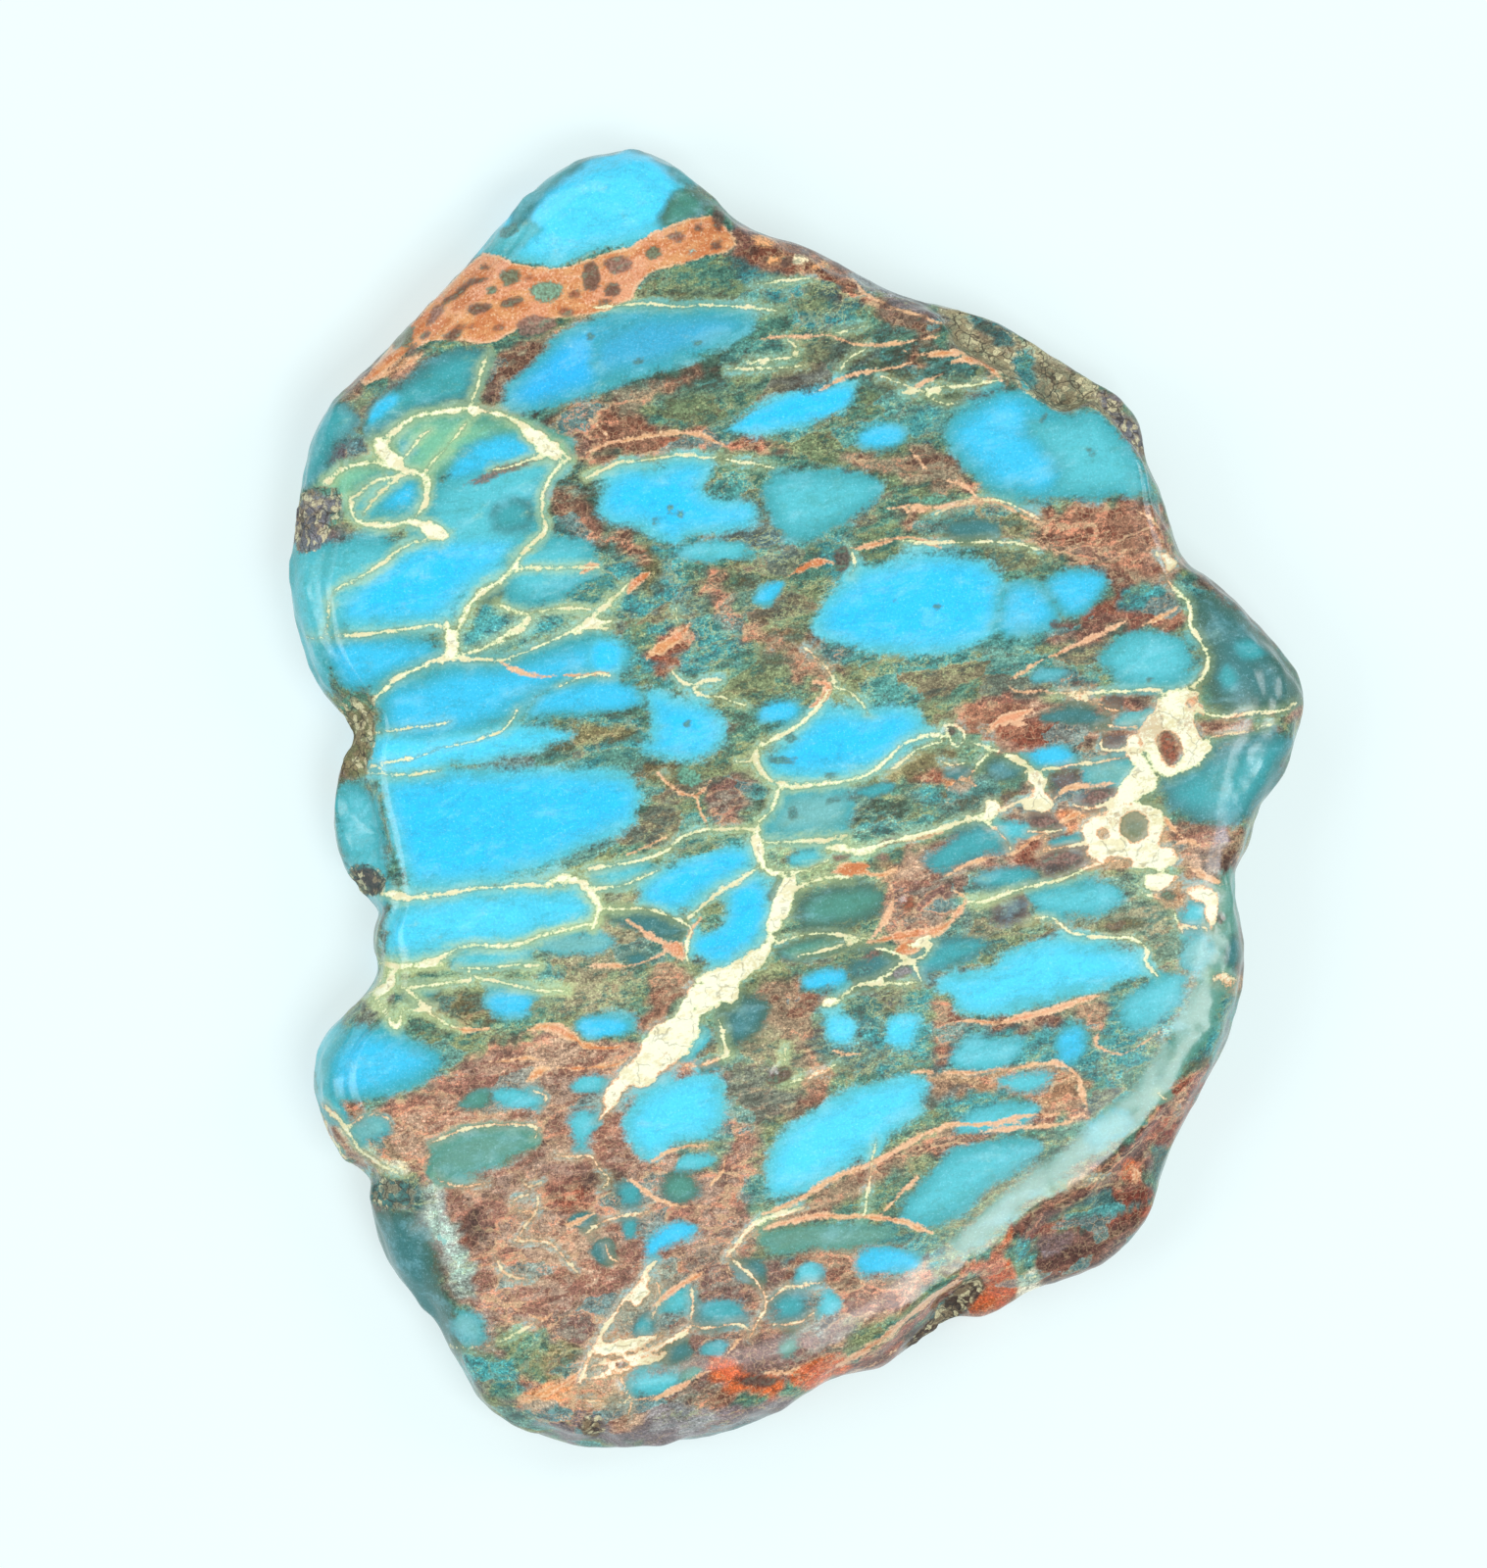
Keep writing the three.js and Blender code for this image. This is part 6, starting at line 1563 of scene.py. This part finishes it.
# The floor, the lights and the camera.
studio = {
    "floorReach": 3.0,
    "floorTone": (150, 164, 166),
    "floorTint": (0.90, 1.0, 1.0),
    "floorGlow": 0.60,
    "floorRoughness": 0.9,
    "floorGap": 0.02 * millimetre,  # keeps the board clear of the slab's base
    "skyTone": (0.94, 0.985, 1.0),
    "skyStrength": 0.38,
    "boxes": {  # direction, distance, width and height in metres, watts
        "keyBox": ((-0.55, 0.57, 0.70), 0.8, (0.60, 0.60), 1.45),
        "sheenBox": ((0.30, -0.26, 1.0), 0.7, (0.30, 0.26), 2.3),
        "leftBox": ((-0.68, -0.12, 0.70), 0.7, (0.26, 0.36), 1.2),
        "rightBox": ((0.72, 0.22, 0.62), 0.7, (0.14, 0.30), 0.95),
    },
    "middleX": -54.0,  # of the picture, in chart units from the chart's middle
    "middleY": 15.5,
    "pictureHeight": 1600.0,
    "pictureLevel": 0.8,  # share of the slab's height at which that is the height
    "focalLength": 300.0,
    "filmSize": 36.0,
    "clipStart": 0.01,
    "clipEnd": 10.0,
}


# A pale matt board that can't be seen from below.
def makeFloor():
    mesh = bpy.data.meshes.new("floor")
    reach = studio["floorReach"]
    level = -studio["floorGap"]
    turns = ((-1, -1), (1, -1), (1, 1), (-1, 1))
    mesh.from_pydata([(x * reach, y * reach, level) for x, y in turns], [], [(0, 1, 2, 3)])
    floor = bpy.data.objects.new("floor", mesh)
    bpy.context.collection.objects.link(floor)
    material = bpy.data.materials.new("paleBoard")
    material.use_nodes = True
    tree = material.node_tree
    shader = tree.nodes["Principled BSDF"]
    shader.inputs["Base Color"].default_value = (*linear(studio["floorTone"]), 1.0)
    shader.inputs["Roughness"].default_value = studio["floorRoughness"]
    shader.inputs["Specular IOR Level"].default_value = 0.0
    shader.inputs["Emission Color"].default_value = (*studio["floorTint"], 1.0)
    shader.inputs["Emission Strength"].default_value = studio["floorGlow"]
    fromBelow = addNode(tree, "ShaderNodeNewGeometry", outlet="Backfacing")
    clear = addNode(tree, "ShaderNodeBsdfTransparent")
    both = addNode(tree, "ShaderNodeMixShader", {0: fromBelow, 1: shader.outputs[0], 2: clear})
    tree.links.new(both, tree.nodes["Material Output"].inputs["Surface"])
    mesh.materials.append(material)


def addSoftbox(name, towards, distance, size, power):
    lamp = bpy.data.lights.new(name, "AREA")
    lamp.shape = "RECTANGLE"
    lamp.size, lamp.size_y = size
    lamp.energy = power
    light = bpy.data.objects.new(name, lamp)
    light.visible_camera = False
    direction = Vector(towards).normalized()
    light.location = direction * distance
    light.rotation_euler = direction.to_track_quat("Z", "Y").to_euler()
    bpy.context.collection.objects.link(light)


def lightWorld():
    world = bpy.context.scene.world or bpy.data.worlds.new("paleStudio")
    bpy.context.scene.world = world
    world.use_nodes = True
    background = world.node_tree.nodes["Background"]
    background.inputs["Color"].default_value = (*studio["skyTone"], 1.0)
    background.inputs["Strength"].default_value = studio["skyStrength"]


def addCamera():
    lens = bpy.data.cameras.new("overhead")
    lens.sensor_fit = "AUTO"
    lens.sensor_width = studio["filmSize"]
    lens.lens = studio["focalLength"]
    lens.clip_start = studio["clipStart"]
    lens.clip_end = studio["clipEnd"]
    overhead = bpy.data.objects.new("overhead", lens)
    seen = studio["pictureHeight"] * chartUnit
    distance = seen * studio["focalLength"] / studio["filmSize"]
    overhead.location = (studio["middleX"] * chartUnit, studio["middleY"] * chartUnit,
                         faceHeight * studio["pictureLevel"] + distance)
    bpy.context.collection.objects.link(overhead)
    bpy.context.scene.camera = overhead


makeFloor()
for name, box in studio["boxes"].items():
    addSoftbox(name, *box)
lightWorld()
addCamera()
bpy.context.scene.view_settings.view_transform = "Standard"
print("studio set")
